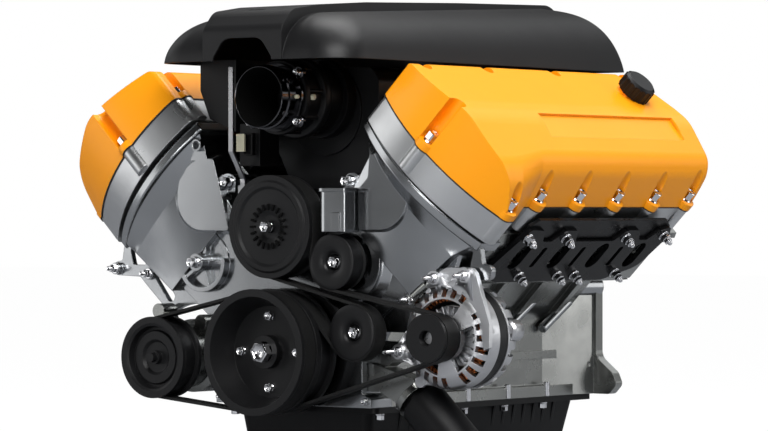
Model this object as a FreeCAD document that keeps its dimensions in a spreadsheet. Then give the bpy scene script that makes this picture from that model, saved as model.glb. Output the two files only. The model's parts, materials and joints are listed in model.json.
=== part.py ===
"""Complete 90-degree V8 engine, as an assembly of separate parts.

Lengths are millimetres. Every part is drawn in the engine's own stations: X to the engine's
right-hand bank, S (drawn on Y) from the front rim of the crank pulley towards the rear, Z up from
the crank axis. Each part's Placement then moves the drawing so that the finished row has its
origin on the crank axis, at the rear face of the crank flange.

Parts of a cylinder bank are drawn upright, in the bank's own directions: w outwards across the
bank, S along it and h up the cylinder axis. Their Placement leans them 45 degrees.
"""
import FreeCAD, Part
import math
import os
import re

import Sketcher
from FreeCAD import Placement, Rotation, Vector

X_AXIS = Vector(1, 0, 0)
REARWARD = Vector(0, 1, 0)
UP = Vector(0, 0, 1)
RIGHT_BANK = 1
LEFT_BANK = -1
WEB_STUDS = {RIGHT_BANK: ((313, 112), (262, 108)), LEFT_BANK: ((342, 116), (276, 109))}
WEB_SLOTS = {RIGHT_BANK: ((248, 116), (208, 77)), LEFT_BANK: ((262, 106), (238, 75))}
ALTERNATOR_EARS = ((262, 108, 11, 80, 91.8), (313, 112, 12, 82, 91.8), (194, 3, 11, 88, 112),
                   (230, -38, 9, 92, 100))

SIZES = {
    # whole engine
    "front_to_flange": 604, "bank_lean": 45,
    # cylinders and crank
    "bore_spacing": 98, "bore_radius": 44, "crank_throw": 41, "rod_length": 156.5,
    "crown_height": 30, "deck_height": 228, "piston_length": 50, "piston_radius": 43.8,
    "right_first_bore": 226, "left_first_bore": 206, "first_main": 167,
    "main_radius": 30, "pin_radius": 26, "running_gap": 0.04, "main_width": 26,
    # block and pan
    "block_front": 141, "block_rear": 660, "rail_half": 143, "rail_bottom": -79,
    "rail_top": -63, "case_half": 128, "bank_half": 58, "pan_bottom": -178,
    # heads and covers, in bank directions
    "head_top": 352, "head_rear": 606, "carrier_top": 396, "cover_base": 398,
    "valve_offset": 45, "cam_height": 375, "cam_offset": 45, "flange_centre_w": -30,
    "flange_centre_s": 290, "flange_radius": 252, "flange_inner_w": -124, "flange_outer_w": 104,
    "flange_corner_w": 133, "cover_rear": 603,
    # timing cover
    "cover_front": 91, "arm_front": 78,
    # belts
    "main_belt_front": 46, "main_belt_rear": 72, "belt_thickness": 4, "belt_gap": 0.3,
    "second_belt_front": 8, "second_belt_rear": 34,
    # pulleys
    "crank_rim": 90.8, "crank_groove": 84.5,
    "pump_height": 179.7, "pump_rim": 74.5, "pump_groove": 70, "pump_front": 35,
    "upper_idler_x": 107.7, "upper_idler_z": 129.8, "idler_rim": 40, "idler_groove": 37.2,
    "lower_idler_x": 144.2, "lower_idler_z": 30.1, "idler_front": 44,
    "alternator_x": 278.2, "alternator_z": 25, "alternator_rim": 34.1,
    "alternator_groove": 30.2, "alternator_front": 40, "alternator_radius": 74,
    "compressor_x": -189.7, "compressor_z": -11.4, "compressor_rim": 59.6,
    "compressor_groove": 54.5,
    # intake
    "intake_z": 366, "intake_mouth": 13, "intake_radius": 44.5, "throttle_bore": 40,
    "throttle_front": 112, "plenum_front": 172,
    # engine cover
    "lid_half": 178, "lid_front": -23, "lid_rear": 697, "lid_bottom": 417, "lid_corner": 58,
    "lid_spine_top": 522, "lid_spine_half": 72.5, "lid_arch_half": 54, "lid_arch_height": 32,
}

document = FreeCAD.newDocument("v8_engine")
sheet = document.addObject("Spreadsheet::Sheet", "Sizes")
for row, (alias, value) in enumerate(SIZES.items(), start=1):
    sheet.set(f"A{row}", alias)
    sheet.set(f"B{row}", str(value))
    sheet.setAlias(f"B{row}", alias)
document.recompute()
parts = []


def size(alias):
    """Return one driving dimension from the sheet."""
    return float(sheet.get(alias))


# ---------------------------------------------------------------- placing and binding

def bound(text):
    """Write a size formula as an expression on the sheet."""
    return re.sub(r"[a-z][a-z_]+", lambda match: f"Sizes.{match.group(0)}", str(text))


def place(part, x="0", s="0", z="0"):
    """Move a part by formulas, from stations to the row's frame."""
    part.setExpression("Placement.Base.x", bound(x))
    part.setExpression("Placement.Base.y", bound(f"({s}) - front_to_flange"))
    part.setExpression("Placement.Base.z", bound(z))


def keep(part, label):
    """Name a finished part and list it for export."""
    part.Label = label
    parts.append(part)
    return part


def casting(label, shape, bank=0):
    """Keep a shape that Part functions made, leaning it with its bank when it has one."""
    part = document.addObject("Part::Feature", label)
    part.Shape = shape
    lean = Rotation(REARWARD, bank * size("bank_lean"))
    move = Placement(Vector(0, -size("front_to_flange"), 0), lean)
    part.Placement = move.multiply(shape.Placement)
    return keep(part, label)


# ---------------------------------------------------------------- parametric bodies

def sketch(body, plane_role, points):
    """Draw a closed outline of formula points on one of the body's own origin planes."""
    drawing = body.newObject("Sketcher::SketchObject", "Outline")
    plane = next(item for item in body.Origin.OriginFeatures if item.Role == plane_role)
    drawing.AttachmentSupport = [(plane, "")]
    drawing.MapMode = "FlatFace"
    known = {alias: size(alias) for alias in SIZES}
    corners = [Vector(value_of(x, known), value_of(y, known), 0) for x, y in points]
    for start, end in zip(corners, corners[1:] + corners[:1]):
        drawing.addGeometry(Part.LineSegment(start, end))
    count = len(corners)
    for index in range(count):
        drawing.addConstraint(
            Sketcher.Constraint("Coincident", index, 2, (index + 1) % count, 1))
    for index, (point, corner) in enumerate(zip(points, corners)):
        for kind, formula, value in zip(("DistanceX", "DistanceY"), point, corner):
            number = drawing.addConstraint(
                Sketcher.Constraint(kind, -1, 1, index, 1, value))
            drawing.setExpression(f"Constraints[{number}]", bound(formula))
    return drawing


def value_of(formula, known):
    """Work out a sum of sizes and numbers, such as 'crank_rim - 4'."""
    total = 0.0
    for sign, term in re.findall(r"([+-]?)\s*([a-z_]+|[0-9.]+)", str(formula)):
        amount = known[term] if term in known else float(term)
        total += -amount if sign == "-" else amount
    return total


def revolved(name, profile):
    """Make a body by turning an (r, s) profile about the station axis."""
    body = document.addObject("PartDesign::Body", name)
    drawing = sketch(body, "XY_Plane", profile)
    turn = body.newObject("PartDesign::Revolution", "Turned")
    turn.Profile = drawing
    turn.ReferenceAxis = (drawing, ["V_Axis"])
    turn.Angle = 360
    return body


# ---------------------------------------------------------------- shape helpers

def outline(points):
    """Make a closed wire in XY from (x, y) or (x, y, corner radius) points."""
    corners = [Vector(point[0], point[1], 0) for point in points]
    radii = [point[2] if len(point) > 2 else 0 for point in points]
    edges = []
    ends = []
    for index, corner in enumerate(corners):
        ends.append(corner_arc(corners[index - 1], corner,
                               corners[(index + 1) % len(corners)], radii[index]))
    for index, (entry, middle, leave) in enumerate(ends):
        if radii[index]:
            edges.append(Part.Arc(entry, middle, leave).toShape())
        following = ends[(index + 1) % len(ends)][0]
        if leave.distanceToPoint(following) > 1e-6:
            edges.append(Part.LineSegment(leave, following).toShape())
    return Part.Wire(edges)


def corner_arc(before, corner, after, radius):
    """Return the start, middle and end of the arc that rounds a corner."""
    if not radius:
        return corner, corner, corner
    back = (before - corner).normalize()
    ahead = (after - corner).normalize()
    half = back.getAngle(ahead) / 2
    reach = radius / math.tan(half)
    bisector = (back + ahead).normalize()
    middle = corner + bisector * (radius / math.sin(half) - radius)
    return corner + back * reach, middle, corner + ahead * reach


def plan_prism(points, low, high):
    """Extrude an (x, s) outline upwards."""
    face = Part.Face(outline(points))
    face.translate(Vector(0, 0, low))
    return face.extrude(Vector(0, 0, high - low))


def front_prism(points, start, end):
    """Extrude an (x, z) outline rearwards."""
    face = Part.Face(outline(points))
    face.rotate(Vector(), X_AXIS, 90)
    face.translate(Vector(0, start, 0))
    return face.extrude(Vector(0, end - start, 0))


def side_prism(points, left, right):
    """Extrude an (s, z) outline across the engine."""
    face = Part.Face(outline(points))
    face.Placement = Placement(Vector(left, 0, 0), Rotation(Vector(1, 1, 1), 120))
    return face.extrude(Vector(right - left, 0, 0))


def box(left, right, front, rear, low, high):
    """Make a box between six planes."""
    return Part.makeBox(right - left, rear - front, high - low, Vector(left, front, low))


def rod(radius, start, end):
    """Make a cylinder from one point to another."""
    return Part.makeCylinder(radius, (end - start).Length, start, end - start)


def taper(start_radius, end_radius, start, end):
    """Make a cone from one point to another."""
    return Part.makeCone(start_radius, end_radius, (end - start).Length, start, end - start)


def tube(outer, inner, start, end):
    """Make a hollow cylinder."""
    return rod(outer, start, end).cut(rod(inner, start, end))


def hexagon(across_flats, start, end):
    """Make a hexagonal prism from one point to another."""
    reach = across_flats / math.sqrt(3)
    turns = [math.radians(60 * step) for step in range(6)]
    ring = [Vector(reach * math.cos(turn), reach * math.sin(turn), 0) for turn in turns]
    face = Part.Face(Part.makePolygon(ring + ring[:1]))
    face.Placement = Placement(start, Rotation(UP, end - start))
    return face.extrude(end - start)


def bolt(seat, direction, shank_radius, shank_length):
    """Make a hexagon-head bolt whose head stands on its seat and whose shank goes in."""
    along = Vector(direction).normalize()
    head = hexagon(shank_radius * 3.4, seat, seat + along * shank_radius * 2)
    return head.fuse(rod(shank_radius, seat - along * shank_length, seat))


def mirrored(shape):
    """Mirror a shape from the right-hand side to the left."""
    return shape.mirror(Vector(), X_AXIS)


def both_sides(points):
    """Close a right-hand half outline with its mirror image."""
    return points + [(-point[0],) + tuple(point[1:]) for point in reversed(points)]


def to_bank(w, s, h, bank=RIGHT_BANK):
    """Return where a bank's (w, s, h) point is in the upright drawing."""
    lean = math.radians(size("bank_lean"))
    across = w * math.cos(lean) + h * math.sin(lean)
    upward = h * math.cos(lean) - w * math.sin(lean)
    return Vector(bank * across, s, upward)


def leaning(shape, bank):
    """Turn a shape drawn in bank directions to its bank."""
    turned = shape.copy()
    turned.rotate(Vector(), REARWARD, bank * size("bank_lean"))
    return turned


def bores(bank):
    """List the stations of one bank's cylinders."""
    first = size("right_first_bore") if bank == RIGHT_BANK else size("left_first_bore")
    return [first + size("bore_spacing") * index for index in range(4)]


def mains():
    """List the stations of the five main bearings."""
    return [size("first_main") + size("bore_spacing") * index for index in range(5)]


def pins():
    """List (station, turn from +Z in degrees) of the four crank pins."""
    turns = [45, 135, 315, 225]
    first = size("first_main") + size("bore_spacing") / 2
    return [(first + size("bore_spacing") * index, turn) for index, turn in enumerate(turns)]


# ---------------------------------------------------------------- block and bottom end

def block_half():
    """Outline of the right half of the block, from the valley floor to the rail."""
    deck = size("deck_height")
    half = size("bank_half")
    inner = to_bank(-half, 0, deck)
    outer = to_bank(half, 0, deck)
    elbow = size("case_half") - half * math.sqrt(2)
    return [(18, 100, 8), (inner.x, inner.z), (outer.x, outer.z, 5),
            (size("case_half"), elbow, 20), (size("case_half"), size("rail_top"), 3),
            (size("rail_half"), size("rail_top")), (size("rail_half"), size("rail_bottom"))]


def bell_half():
    """Outline of the right half of the gearbox flange at the rear of the block."""
    return [(0, 178), (78, 178, 24), (158, 118, 14), (158, -22, 20), (188, -46, 8),
            (196, -64, 9), (182, -79, 8)]


def cylinder_block():
    """Cast block: two banks, crankcase bays, gearbox skirt, ribs and deck edges."""
    front = size("block_front")
    rear = size("block_rear")
    shape = front_prism(both_sides(block_half()), front, 600)
    ring = front_prism(both_sides(bell_half()[1:]), rear - 18, rear)
    skirt = plan_prism([(-128, 540), (128, 540), (154, rear - 14), (-154, rear - 14)],
                       size("rail_bottom"), 108)
    shape = shape.fuse([ring, skirt])
    for bank in (RIGHT_BANK, LEFT_BANK):
        shape = shape.fuse(block_ribs(bank))
    shape = shape.cut(crankcase_space())
    for bank in (RIGHT_BANK, LEFT_BANK):
        for station in bores(bank):
            shape = shape.cut(rod(size("bore_radius"), to_bank(0, station, 50, bank),
                                  to_bank(0, station, size("deck_height") + 1, bank)))
    for x in (-146, 146):
        for z in (-34, 106):
            shape = shape.cut(rod(5.5, Vector(x, rear - 30, z), Vector(x, rear + 1, z)))
    casting("cylinder_block", shape.removeSplitter())


def block_ribs(bank):
    """Deck edge and the upright ribs between the cylinders on one bank's outer wall."""
    half = size("bank_half")
    deck = size("deck_height")
    front = size("block_front")
    edge = box(half - 1, half + 9, front, 600, deck - 13, deck)
    pieces = [leaning(edge, 1)]
    for station in mains():
        rib = side_prism([(station - 4, 105), (station + 4, 105), (station + 9, deck - 12),
                          (station - 9, deck - 12)], half - 1, half + 9)
        pieces.append(leaning(rib, 1))
    rail_edge = box(size("case_half") - 1, size("case_half") + 7, front, 600, -22, -10)
    pieces.append(rail_edge)
    return pieces if bank == RIGHT_BANK else [mirrored(piece) for piece in pieces]


def crankcase_space():
    """The bays that the crank turns in, the main bores, and the space in the skirt."""
    front = size("block_front")
    gap = size("running_gap")
    space = rod(size("main_radius") + gap, Vector(0, front - 1, 0), Vector(0, 600, 0))
    half_main = size("main_width") / 2
    for first, second in zip(mains(), mains()[1:]):
        bay_start = first + half_main
        bay_end = second - half_main
        bay = rod(84, Vector(0, bay_start, 0), Vector(0, bay_end, 0))
        well = box(-84, 84, bay_start, bay_end, size("rail_bottom") - 1, 0)
        space = space.fuse([bay, well])
    for station in mains():
        cap = box(-60, 60, station - half_main, station + half_main,
                  size("rail_bottom") - 1, 0)
        space = space.fuse(cap)
    skirt = front_prism([(-118, -79.5, 0), (118, -79.5, 0), (140, 60, 40), (84, 134, 30),
                         (-84, 134, 30), (-140, 60, 40)], 600, size("block_rear") + 1)
    seal_bore = rod(56, Vector(0, 571, 0), Vector(0, 601, 0))
    return space.fuse([skirt, seal_bore])


def main_bearing_caps():
    """Five caps that hold the crank up, each with its two bolts."""
    half_main = size("main_width") / 2
    bore = size("main_radius") + size("running_gap")
    caps = []
    for station in mains():
        cap = front_prism([(-60, 0), (60, 0), (60, -30, 6), (34, -50, 8), (-34, -50, 8),
                           (-60, -30, 6)], station - half_main, station + half_main)
        cap = cap.cut(rod(bore, Vector(0, station - 20, 0), Vector(0, station + 20, 0)))
        for x in (-45, 45):
            head = hexagon(17, Vector(x, station, -32), Vector(x, station, -46))
            cap = cap.fuse(head)
        caps.append(cap)
    casting("main_bearing_caps", Part.makeCompound(caps))


def rear_seal_carrier():
    """Plate at the rear of the crankcase that holds the crank's oil seal."""
    journal = Vector(0, 572, 0)
    plate = rod(55.8, journal, Vector(0, 582, 0))
    shape = plate.cut(rod(40.3, journal, Vector(0, 582, 0)))
    for step in range(6):
        turn = math.radians(60 * step)
        seat = Vector(48 * math.cos(turn), 582, 48 * math.sin(turn))
        shape = shape.fuse(hexagon(9, seat, seat + REARWARD * 5))
    casting("rear_seal_carrier", shape)


def crankshaft():
    """Cross-plane crank: nose, two timing rows, five mains, four pins, eight webs."""
    journals = mains()
    half_main = size("main_width") / 2
    main = size("main_radius")
    pieces = [rod(15, Vector(0, 28, 0), Vector(0, 142, 0)),
              rod(main, Vector(0, 141, 0), Vector(0, journals[0] + half_main, 0))]
    for station in journals[1:]:
        pieces.append(rod(main, Vector(0, station - half_main, 0),
                          Vector(0, station + half_main, 0)))
    for station, turn in pins():
        throw = crank_throw_shape(station)
        throw.rotate(Vector(), REARWARD, turn)
        pieces.append(throw)
    pieces.append(rod(40, Vector(0, journals[-1] + half_main, 0), Vector(0, 604, 0)))
    for station in (116, 128):
        pieces.append(toothed_wheel(19, 20, station - 4, station + 4))
    shape = pieces[0].fuse(pieces[1:])
    shape = shape.cut(rod(12, Vector(0, 588, 0), Vector(0, 605, 0)))
    for step in range(6):
        turn = math.radians(60 * step)
        hole = Vector(30 * math.cos(turn), 586, 30 * math.sin(turn))
        shape = shape.cut(rod(4.2, hole, hole + REARWARD * 19))
    shape = shape.cut(rod(6, Vector(0, 20, 0), Vector(0, 60, 0)))
    casting("crankshaft", shape)


def crank_throw_shape(station):
    """One pin with its two webs and counterweights, with the pin straight up."""
    half_bay = (size("bore_spacing") - size("main_width")) / 2
    throw = size("crank_throw")
    pin = rod(size("pin_radius"), Vector(0, station - half_bay + 15, throw),
              Vector(0, station + half_bay - 15, throw))
    web = [(-30, throw - 4, 4), (-20, throw + 27, 18), (20, throw + 27, 18),
           (30, throw - 4, 4), (44, 0, 6), (73, -22, 3), (52, -56, 10), (20, -74, 12),
           (-20, -74, 12), (-52, -56, 10), (-73, -22, 3), (-44, 0, 6)]
    front_web = front_prism(web, station - half_bay, station - half_bay + 15)
    rear_web = front_prism(web, station + half_bay - 15, station + half_bay)
    return pin.fuse([front_web, rear_web])


def toothed_wheel(teeth, pitch_radius, start, end):
    """Make a sprocket with one pointed tooth per step round its pitch circle."""
    points = []
    for tooth in range(teeth):
        for share, reach in ((0, -1.6), (0.3, 1.4), (0.55, 1.4), (0.85, -1.6)):
            turn = 2 * math.pi * (tooth + share) / teeth
            radius = pitch_radius + reach
            points.append((radius * math.cos(turn), radius * math.sin(turn)))
    return front_prism(points, start, end)


def piston(bank, number, station):
    """One piston with its ring grooves, skirt and pin bore, at its height on the crank."""
    pin_turn = next(turn for place_s, turn in pins() if abs(place_s - station) < 12)
    angle = math.radians(pin_turn - bank * size("bank_lean"))
    throw = size("crank_throw")
    reach = math.sqrt(size("rod_length") ** 2 - (throw * math.sin(angle)) ** 2)
    crown = throw * math.cos(angle) + reach + size("crown_height")
    radius = size("piston_radius")
    length = size("piston_length")
    rings = [(0, crown), (radius - 1, crown), (radius, crown - 1)]
    for depth in (6, 12, 18):
        rings += [(radius, crown - depth), (radius - 2.5, crown - depth),
                  (radius - 2.5, crown - depth - 2), (radius, crown - depth - 2)]
    rings += [(radius, crown - length), (radius - 5, crown - length),
              (radius - 5, crown - 22), (radius - 10, crown - 14), (0, crown - 12)]
    edges = [Vector(r, 0, h) for r, h in rings]
    face = Part.Face(Part.makePolygon(edges + edges[:1]))
    shape = face.revolve(Vector(), UP, 360)
    for side in (-1, 1):
        window = box(-60, 60, min(side * 60, side * 31), max(side * 60, side * 31),
                     crown - length - 1, crown - 22)
        shape = shape.cut(window)
    bosses = [rod(10.5, Vector(0, -32, crown - 30), Vector(0, 32, crown - 30))]
    for side in (-1, 1):
        near = side * 18
        far = side * 32
        bosses.append(rod(15, Vector(0, near, crown - 30), Vector(0, far, crown - 30)))
        bosses.append(box(-14, 14, min(near, far), max(near, far), crown - 30, crown - 8))
    shape = shape.fuse(bosses)
    shape.translate(Vector(0, station, 0))
    side_name = "right" if bank == RIGHT_BANK else "left"
    casting(f"piston_{side_name}_{number}", shape, bank)


def oil_pan():
    """Deep ribbed pan: rail flange, tapered sump and flat bottom, open at the top."""
    rail = size("rail_bottom")
    low = size("pan_bottom")
    half = size("rail_half")
    flange = plan_prism([(-half, 104, 8), (half, 104, 8), (half, 652, 8), (-half, 652, 8)],
                        rail - 9, rail)
    upper = plan_wire(122, 114, 640, 14, rail)
    middle = plan_wire(112, 122, 624, 14, low + 34)
    lower = plan_wire(102, 136, 606, 14, low)
    sump = Part.makeLoft([upper, middle, lower], True, True)
    ribs = []
    for step in range(7):
        station = 190 + 26 * step
        rib = front_prism([(-123, rail - 8), (123, rail - 8), (106, low + 14),
                           (-106, low + 14)], station, station + 6)
        ribs.append(rib.fuse(rib.translated(Vector(0, 232, 0))))
    outside = flange.fuse([sump] + ribs)
    hollow = Part.makeLoft([plan_wire(112, 124, 628, 12, rail + 1),
                            plan_wire(102, 132, 614, 12, low + 34),
                            plan_wire(94, 146, 597, 12, low + 4)], True, True)
    drain = rod(9, Vector(0, 590, low + 16), Vector(0, 622, low + 16))
    shape = outside.cut(hollow).fuse(drain.cut(hollow))
    casting("oil_pan", shape)


def plan_wire(half, front, rear, corner, height):
    """Return a rounded rectangle in plan at one height."""
    wire = outline([(-half, front, corner), (half, front, corner), (half, rear, corner),
                    (-half, rear, corner)])
    wire.translate(Vector(0, 0, height))
    return wire


def oil_pan_bolts():
    """Bolts under the pan flange that hold it to the block."""
    rail = size("rail_bottom")
    bolts = []
    for side in (-1, 1):
        for step in range(6):
            seat = Vector(side * 134, 124 + 102 * step, rail - 9)
            bolts.append(bolt(seat, Vector(0, 0, -1), 3.5, 9))
    return bolts


def oil_pickup():
    """Pickup tube from the front of the crankcase down to its strainer in the sump."""
    low = size("pan_bottom")
    strainer = taper(16, 30, Vector(0, 330, low + 40), Vector(0, 330, low + 14))
    stations = [Vector(0, 147.5, -79), Vector(0, 147.5, -104), Vector(0, 330, -104),
                Vector(0, 330, low + 38)]
    wire = bent_path(stations, 18)
    profile = Part.Wire(Part.makeCircle(8, stations[0], Vector(0, 0, -1)))
    pipe = wire.makePipeShell([profile], True, False)
    casting("oil_pickup", pipe.fuse(strainer))


def bent_path(points, radius):
    """Join straight runs with tangent arcs."""
    edges = []
    last = points[0]
    for before, corner, after in zip(points, points[1:], points[2:]):
        entry, middle, leave = corner_arc(before, corner, after, radius)
        edges.append(Part.LineSegment(last, entry).toShape())
        edges.append(Part.Arc(entry, middle, leave).toShape())
        last = leave
    edges.append(Part.LineSegment(last, points[-1]).toShape())
    return Part.Wire(edges)


def oil_filter():
    """Spin-on filter canister, leaning out below the alternator."""
    seat = Vector(214, 122, -70)
    along = Vector(0.72, 0, -0.69).normalize()
    can = rod(35, seat, seat + along * 88)
    neck = rod(26, seat - along * 8, seat)
    end = taper(35, 29, seat + along * 88, seat + along * 95)
    casting("oil_filter", can.fuse([neck, end]))


def filter_adapter():
    """Bracket that carries the filter and the foot of the alternator on the block."""
    seat = Vector(214, 122, -70)
    along = Vector(0.72, 0, -0.69).normalize()
    face = seat - along * 8
    pad = rod(36, face - along * 10, face)
    arm = front_prism([(129, -14, 4), (168, -24, 8), (214, -38, 6), (196, -80, 6),
                       (150, -56, 6), (129, -56, 4)], 104, 138)
    cutter = rod(60, face, face + along * 60)
    return arm.fuse(pad).cut(cutter)


# ---------------------------------------------------------------- timing drive and its cover

def timing_wall():
    """Outline of the timing cover's main wall, cut away deeper beside the left pad."""
    outer = [(316, 159, 16), (236, 120, 20), (204, 86, 14), (150, 42, 16), (128, 6, 14),
             (128, -60, 4), (143, -66, 2), (143, -79)]
    right = [(120, 235, 4), (150, 272, 10), (157, 318, 8)] + outer
    left = [(50, 235, 10), (113, 207, 12), (147, 285, 10), (157, 318, 8)] + outer
    return right + [(-point[0], *point[1:]) for point in reversed(left)]


def timing_cover():
    """Y-shaped cast cover with flared arms, raised pads, ribbed wells and side webs."""
    front = size("cover_front")
    rear = size("block_front")
    wall = front_prism(timing_wall(), front, rear)
    lug, lug_hole = cover_lug()
    pieces = [lug, taper(62, 46, Vector(0, front, 0), Vector(0, front - 9, 0)), left_well(),
              idler_well()]
    for bank in (RIGHT_BANK, LEFT_BANK):
        ear = front_prism([(102, 230, 3), (128, 230, 3), (128, 257, 10), (100, 257, 12)], 84,
                          rear)
        drive = "alternator" if bank == RIGHT_BANK else "compressor"
        x = bank * size(f"{drive}_x")
        room = rod(size("alternator_radius") + 2, Vector(x, 70, size(f"{drive}_z")),
                   Vector(x, 150, size(f"{drive}_z")))
        for piece in (leaning(cover_arm(), 1), ear, cover_pad(bank), side_web(bank).cut(room)):
            pieces.append(piece if bank == RIGHT_BANK else mirrored(piece))
    pieces += idler_posts()
    shape = wall.fuse(pieces).cut(lug_hole)
    shape = shape.cut(chain_space())
    shape = shape.cut(rod(24.3, Vector(0, 60, 0), Vector(0, rear, 0)))
    shape = shape.cut(rod(48.2, Vector(0, 60, size("pump_height")),
                          Vector(0, 112, size("pump_height"))))
    casting("timing_cover", shape)


def arm_section(left, right, front_left, front_middle, front_right, height):
    """Outline in plan of one arm at one height: an arched front and a straight rear."""
    rear = size("block_front")
    corners = [Vector(right, front_right, 0), Vector(right, rear, 0), Vector(left, rear, 0),
               Vector(left, front_left, 0)]
    edges = [Part.LineSegment(a, b).toShape() for a, b in zip(corners, corners[1:])]
    crown = Vector((left + right) / 2, front_middle, 0)
    edges.append(Part.Arc(corners[3], crown, corners[0]).toShape())
    wire = Part.Wire(edges)
    wire.translate(Vector(0, 0, height))
    return wire


def cover_arm():
    """One flared arm with its flange, in bank directions."""
    low = arm_section(-72, 96, 79, 78, 80, 215)
    waist = arm_section(-90, 108, 76, 70, 82, 305)
    top = arm_section(-116, 118, 66, 50, 92, 336)
    flare = Part.makeLoft([low, waist, top], True, True)
    lip = Part.Face(arm_section(-122, 126, 64, 45, 96, 333)).extrude(Vector(0, 0, 15))
    outer_edges = [edge for edge in lip.Edges if edge.BoundBox.YMax < 97]
    return flare.fuse(lip.makeFillet(3, outer_edges))


def cover_pad(bank):
    """Raised D-shaped pad on the inner side of an arm, wide-bevelled on the left one."""
    if bank == RIGHT_BANK:
        base = outline([(140, 168, 4), (236, 168, 56), (236, 291, 56), (152, 291, 8),
                        (150, 254, 8), (140, 242, 6)])
        face = outline([(140, 176, 4), (227, 176, 50), (227, 283, 50), (160, 283, 4),
                        (157, 250, 8), (140, 234, 6)])
    else:
        base = outline([(97, 168, 6), (235, 168, 64), (235, 286, 60), (132, 286, 8)])
        face = outline([(99, 174, 4), (197, 174, 48), (197, 279, 52), (129, 279, 6)])
    for wire, station in ((base, 90), (face, 66)):
        wire.rotate(Vector(), X_AXIS, 90)
        wire.translate(Vector(0, station, 0))
    return Part.makeLoft([base, face], True, True)


def ribbed_ring(centre, inner, outer, hub, spokes, first):
    """Ring with a floor, a hub and spokes, raised from the cover's wall."""
    ring = tube(outer, inner, centre + REARWARD * 79, centre + REARWARD * 96)
    pieces = [rod(outer, centre + REARWARD * 90, centre + REARWARD * 96),
              rod(hub, centre + REARWARD * 79, centre + REARWARD * 96)]
    for step in range(spokes):
        spoke = box(-2.5, 2.5, 80, 94, hub - 2, inner + 2)
        spoke.rotate(Vector(), REARWARD, first + 360 * step / spokes)
        pieces.append(spoke.translated(centre))
    return ring.fuse(pieces)


def left_well():
    """Round ribbed well with a long hub below the left pad, open towards the pump."""
    centre = Vector(-162, 0, 127)
    ring = ribbed_ring(centre, 37, 44, 13, 5, 18)
    notch = front_prism([(-154, 133, 4), (-110, 133), (-110, 175), (-154, 175)], 70, 89)
    return ring.cut(notch).fuse(rod(13, centre + REARWARD * 66, centre + REARWARD * 90))


def idler_well():
    """Wide flared ring on the right, round the post of the upper idler."""
    centre = Vector(112, 0, 129)
    flare = taper(73, 59, centre + REARWARD * 92, centre + REARWARD * 83)
    hollow = rod(42, centre + REARWARD * 70, centre + REARWARD * 92)
    return flare.cut(hollow).fuse(ribbed_ring(centre, 42, 57, 20, 4, 40))


def cover_lug():
    """Small lug with a round hole on the left arm, above the pad."""
    centre = Vector(-155, 0, 299)
    lug = rod(9, centre + REARWARD * 58, centre + REARWARD * 92)
    foot = front_prism([(-164, 299), (-146, 299), (-140, 276), (-172, 276)], 66, 92)
    return lug.fuse(foot), rod(6, centre + REARWARD * 57, centre + REARWARD * 72)


def side_web(bank):
    """Slotted web that carries two studs below the end of an arm."""
    web = front_prism([(296, 166, 6), (330, 152, 6), (334, 128, 4), (352, 126, 9),
                       (348, 106, 9), (298, 104, 6), (286, 92, 8), (244, 54, 8),
                       (206, 30, 8), (120, 30, 4), (150, 100, 4)], 99, 108)
    window = front_prism([(296, 148, 3), (318, 146, 3), (312, 122, 3), (286, 122, 3)],
                         98, 109)
    upper, lower = [Vector(x, 98, z) for x, z in WEB_SLOTS[bank]]
    across = (upper - lower).normalize().cross(REARWARD) * 7.5
    corners = [upper + across, upper - across, lower - across, lower + across]
    middle = front_prism([(corner.x, corner.z) for corner in corners], 98, 109)
    ends = [rod(7.5, end, end + REARWARD * 11) for end in (upper, lower)]
    bosses = [rod(9, Vector(x, 92, z), Vector(x, 108, z)) for x, z in WEB_STUDS[bank]]
    return web.cut(window).cut(middle.fuse(ends)).fuse(bosses)


def chain_space():
    """The space inside the cover that the two timing chains run in."""
    front = size("cover_front") + 10
    rear = size("block_front") + 1
    arm = front_prism([(-45, 60), (45, 60), (66, 205), (90, 349), (-90, 349), (-66, 205)],
                      front, rear)
    middle = front_prism([(-92, 100, 12), (-92, -60, 16), (92, -60, 16), (92, 100, 12),
                          (40, 150, 20), (-40, 150, 20)], front, rear)
    return middle.fuse([leaning(arm, 1), leaning(arm, -1)])


def front_bolts():
    """Bolts and nuts on the front of the engine: cover, webs, idlers, throttle flange."""
    arm = size("arm_front")
    seats = []
    for side in (-1, 1):
        seats += [(side * 134, 91, -70, 3.5, 8), (side * 112, 84, 245, 5, 18)]
    seats += [(-60, 91, 210, 4, 8), (-162, 66, 127, 6, 14), (-342, 92, 116, 4, 12),
              (-276, 92, 109, 4, 12), (262, 80, 108, 4, 26), (313, 82, 112, 4, 24),
              (194, 88, 3, 4, 40), (219, 82, 77, 4, 20)]
    bolts = [bolt(Vector(x, s, z), Vector(0, -1, 0), radius, length)
             for x, s, z, radius, length in seats]
    bolts += oil_pan_bolts()
    for x, z in ((size("upper_idler_x"), size("upper_idler_z")),
                 (size("lower_idler_x"), size("lower_idler_z"))):
        pivot = rod(7.96, Vector(x, size("idler_front") + 4, z), Vector(x, arm + 14, z))
        head = hexagon(17, Vector(x, size("idler_front") + 4, z),
                       Vector(x, size("idler_front") - 6, z))
        bolts.append(pivot.fuse(head))
    for x, z in ((-38, 38), (38, 38), (-38, -38), (38, -38)):
        seat = Vector(x * 1.03, 104, size("intake_z") + z * 1.03)
        bolts.append(bolt(seat, Vector(0, -1, 0), 3.5, 12))
    casting("front_bolts", Part.makeCompound(bolts))


def idler_posts():
    """Posts on the timing cover that the two idlers are bolted to."""
    posts = []
    for x, z in ((size("upper_idler_x"), size("upper_idler_z")),
                 (size("lower_idler_x"), size("lower_idler_z"))):
        posts.append(taper(24, 14, Vector(x, 92, z), Vector(x, 76, z)))
    return posts


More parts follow.
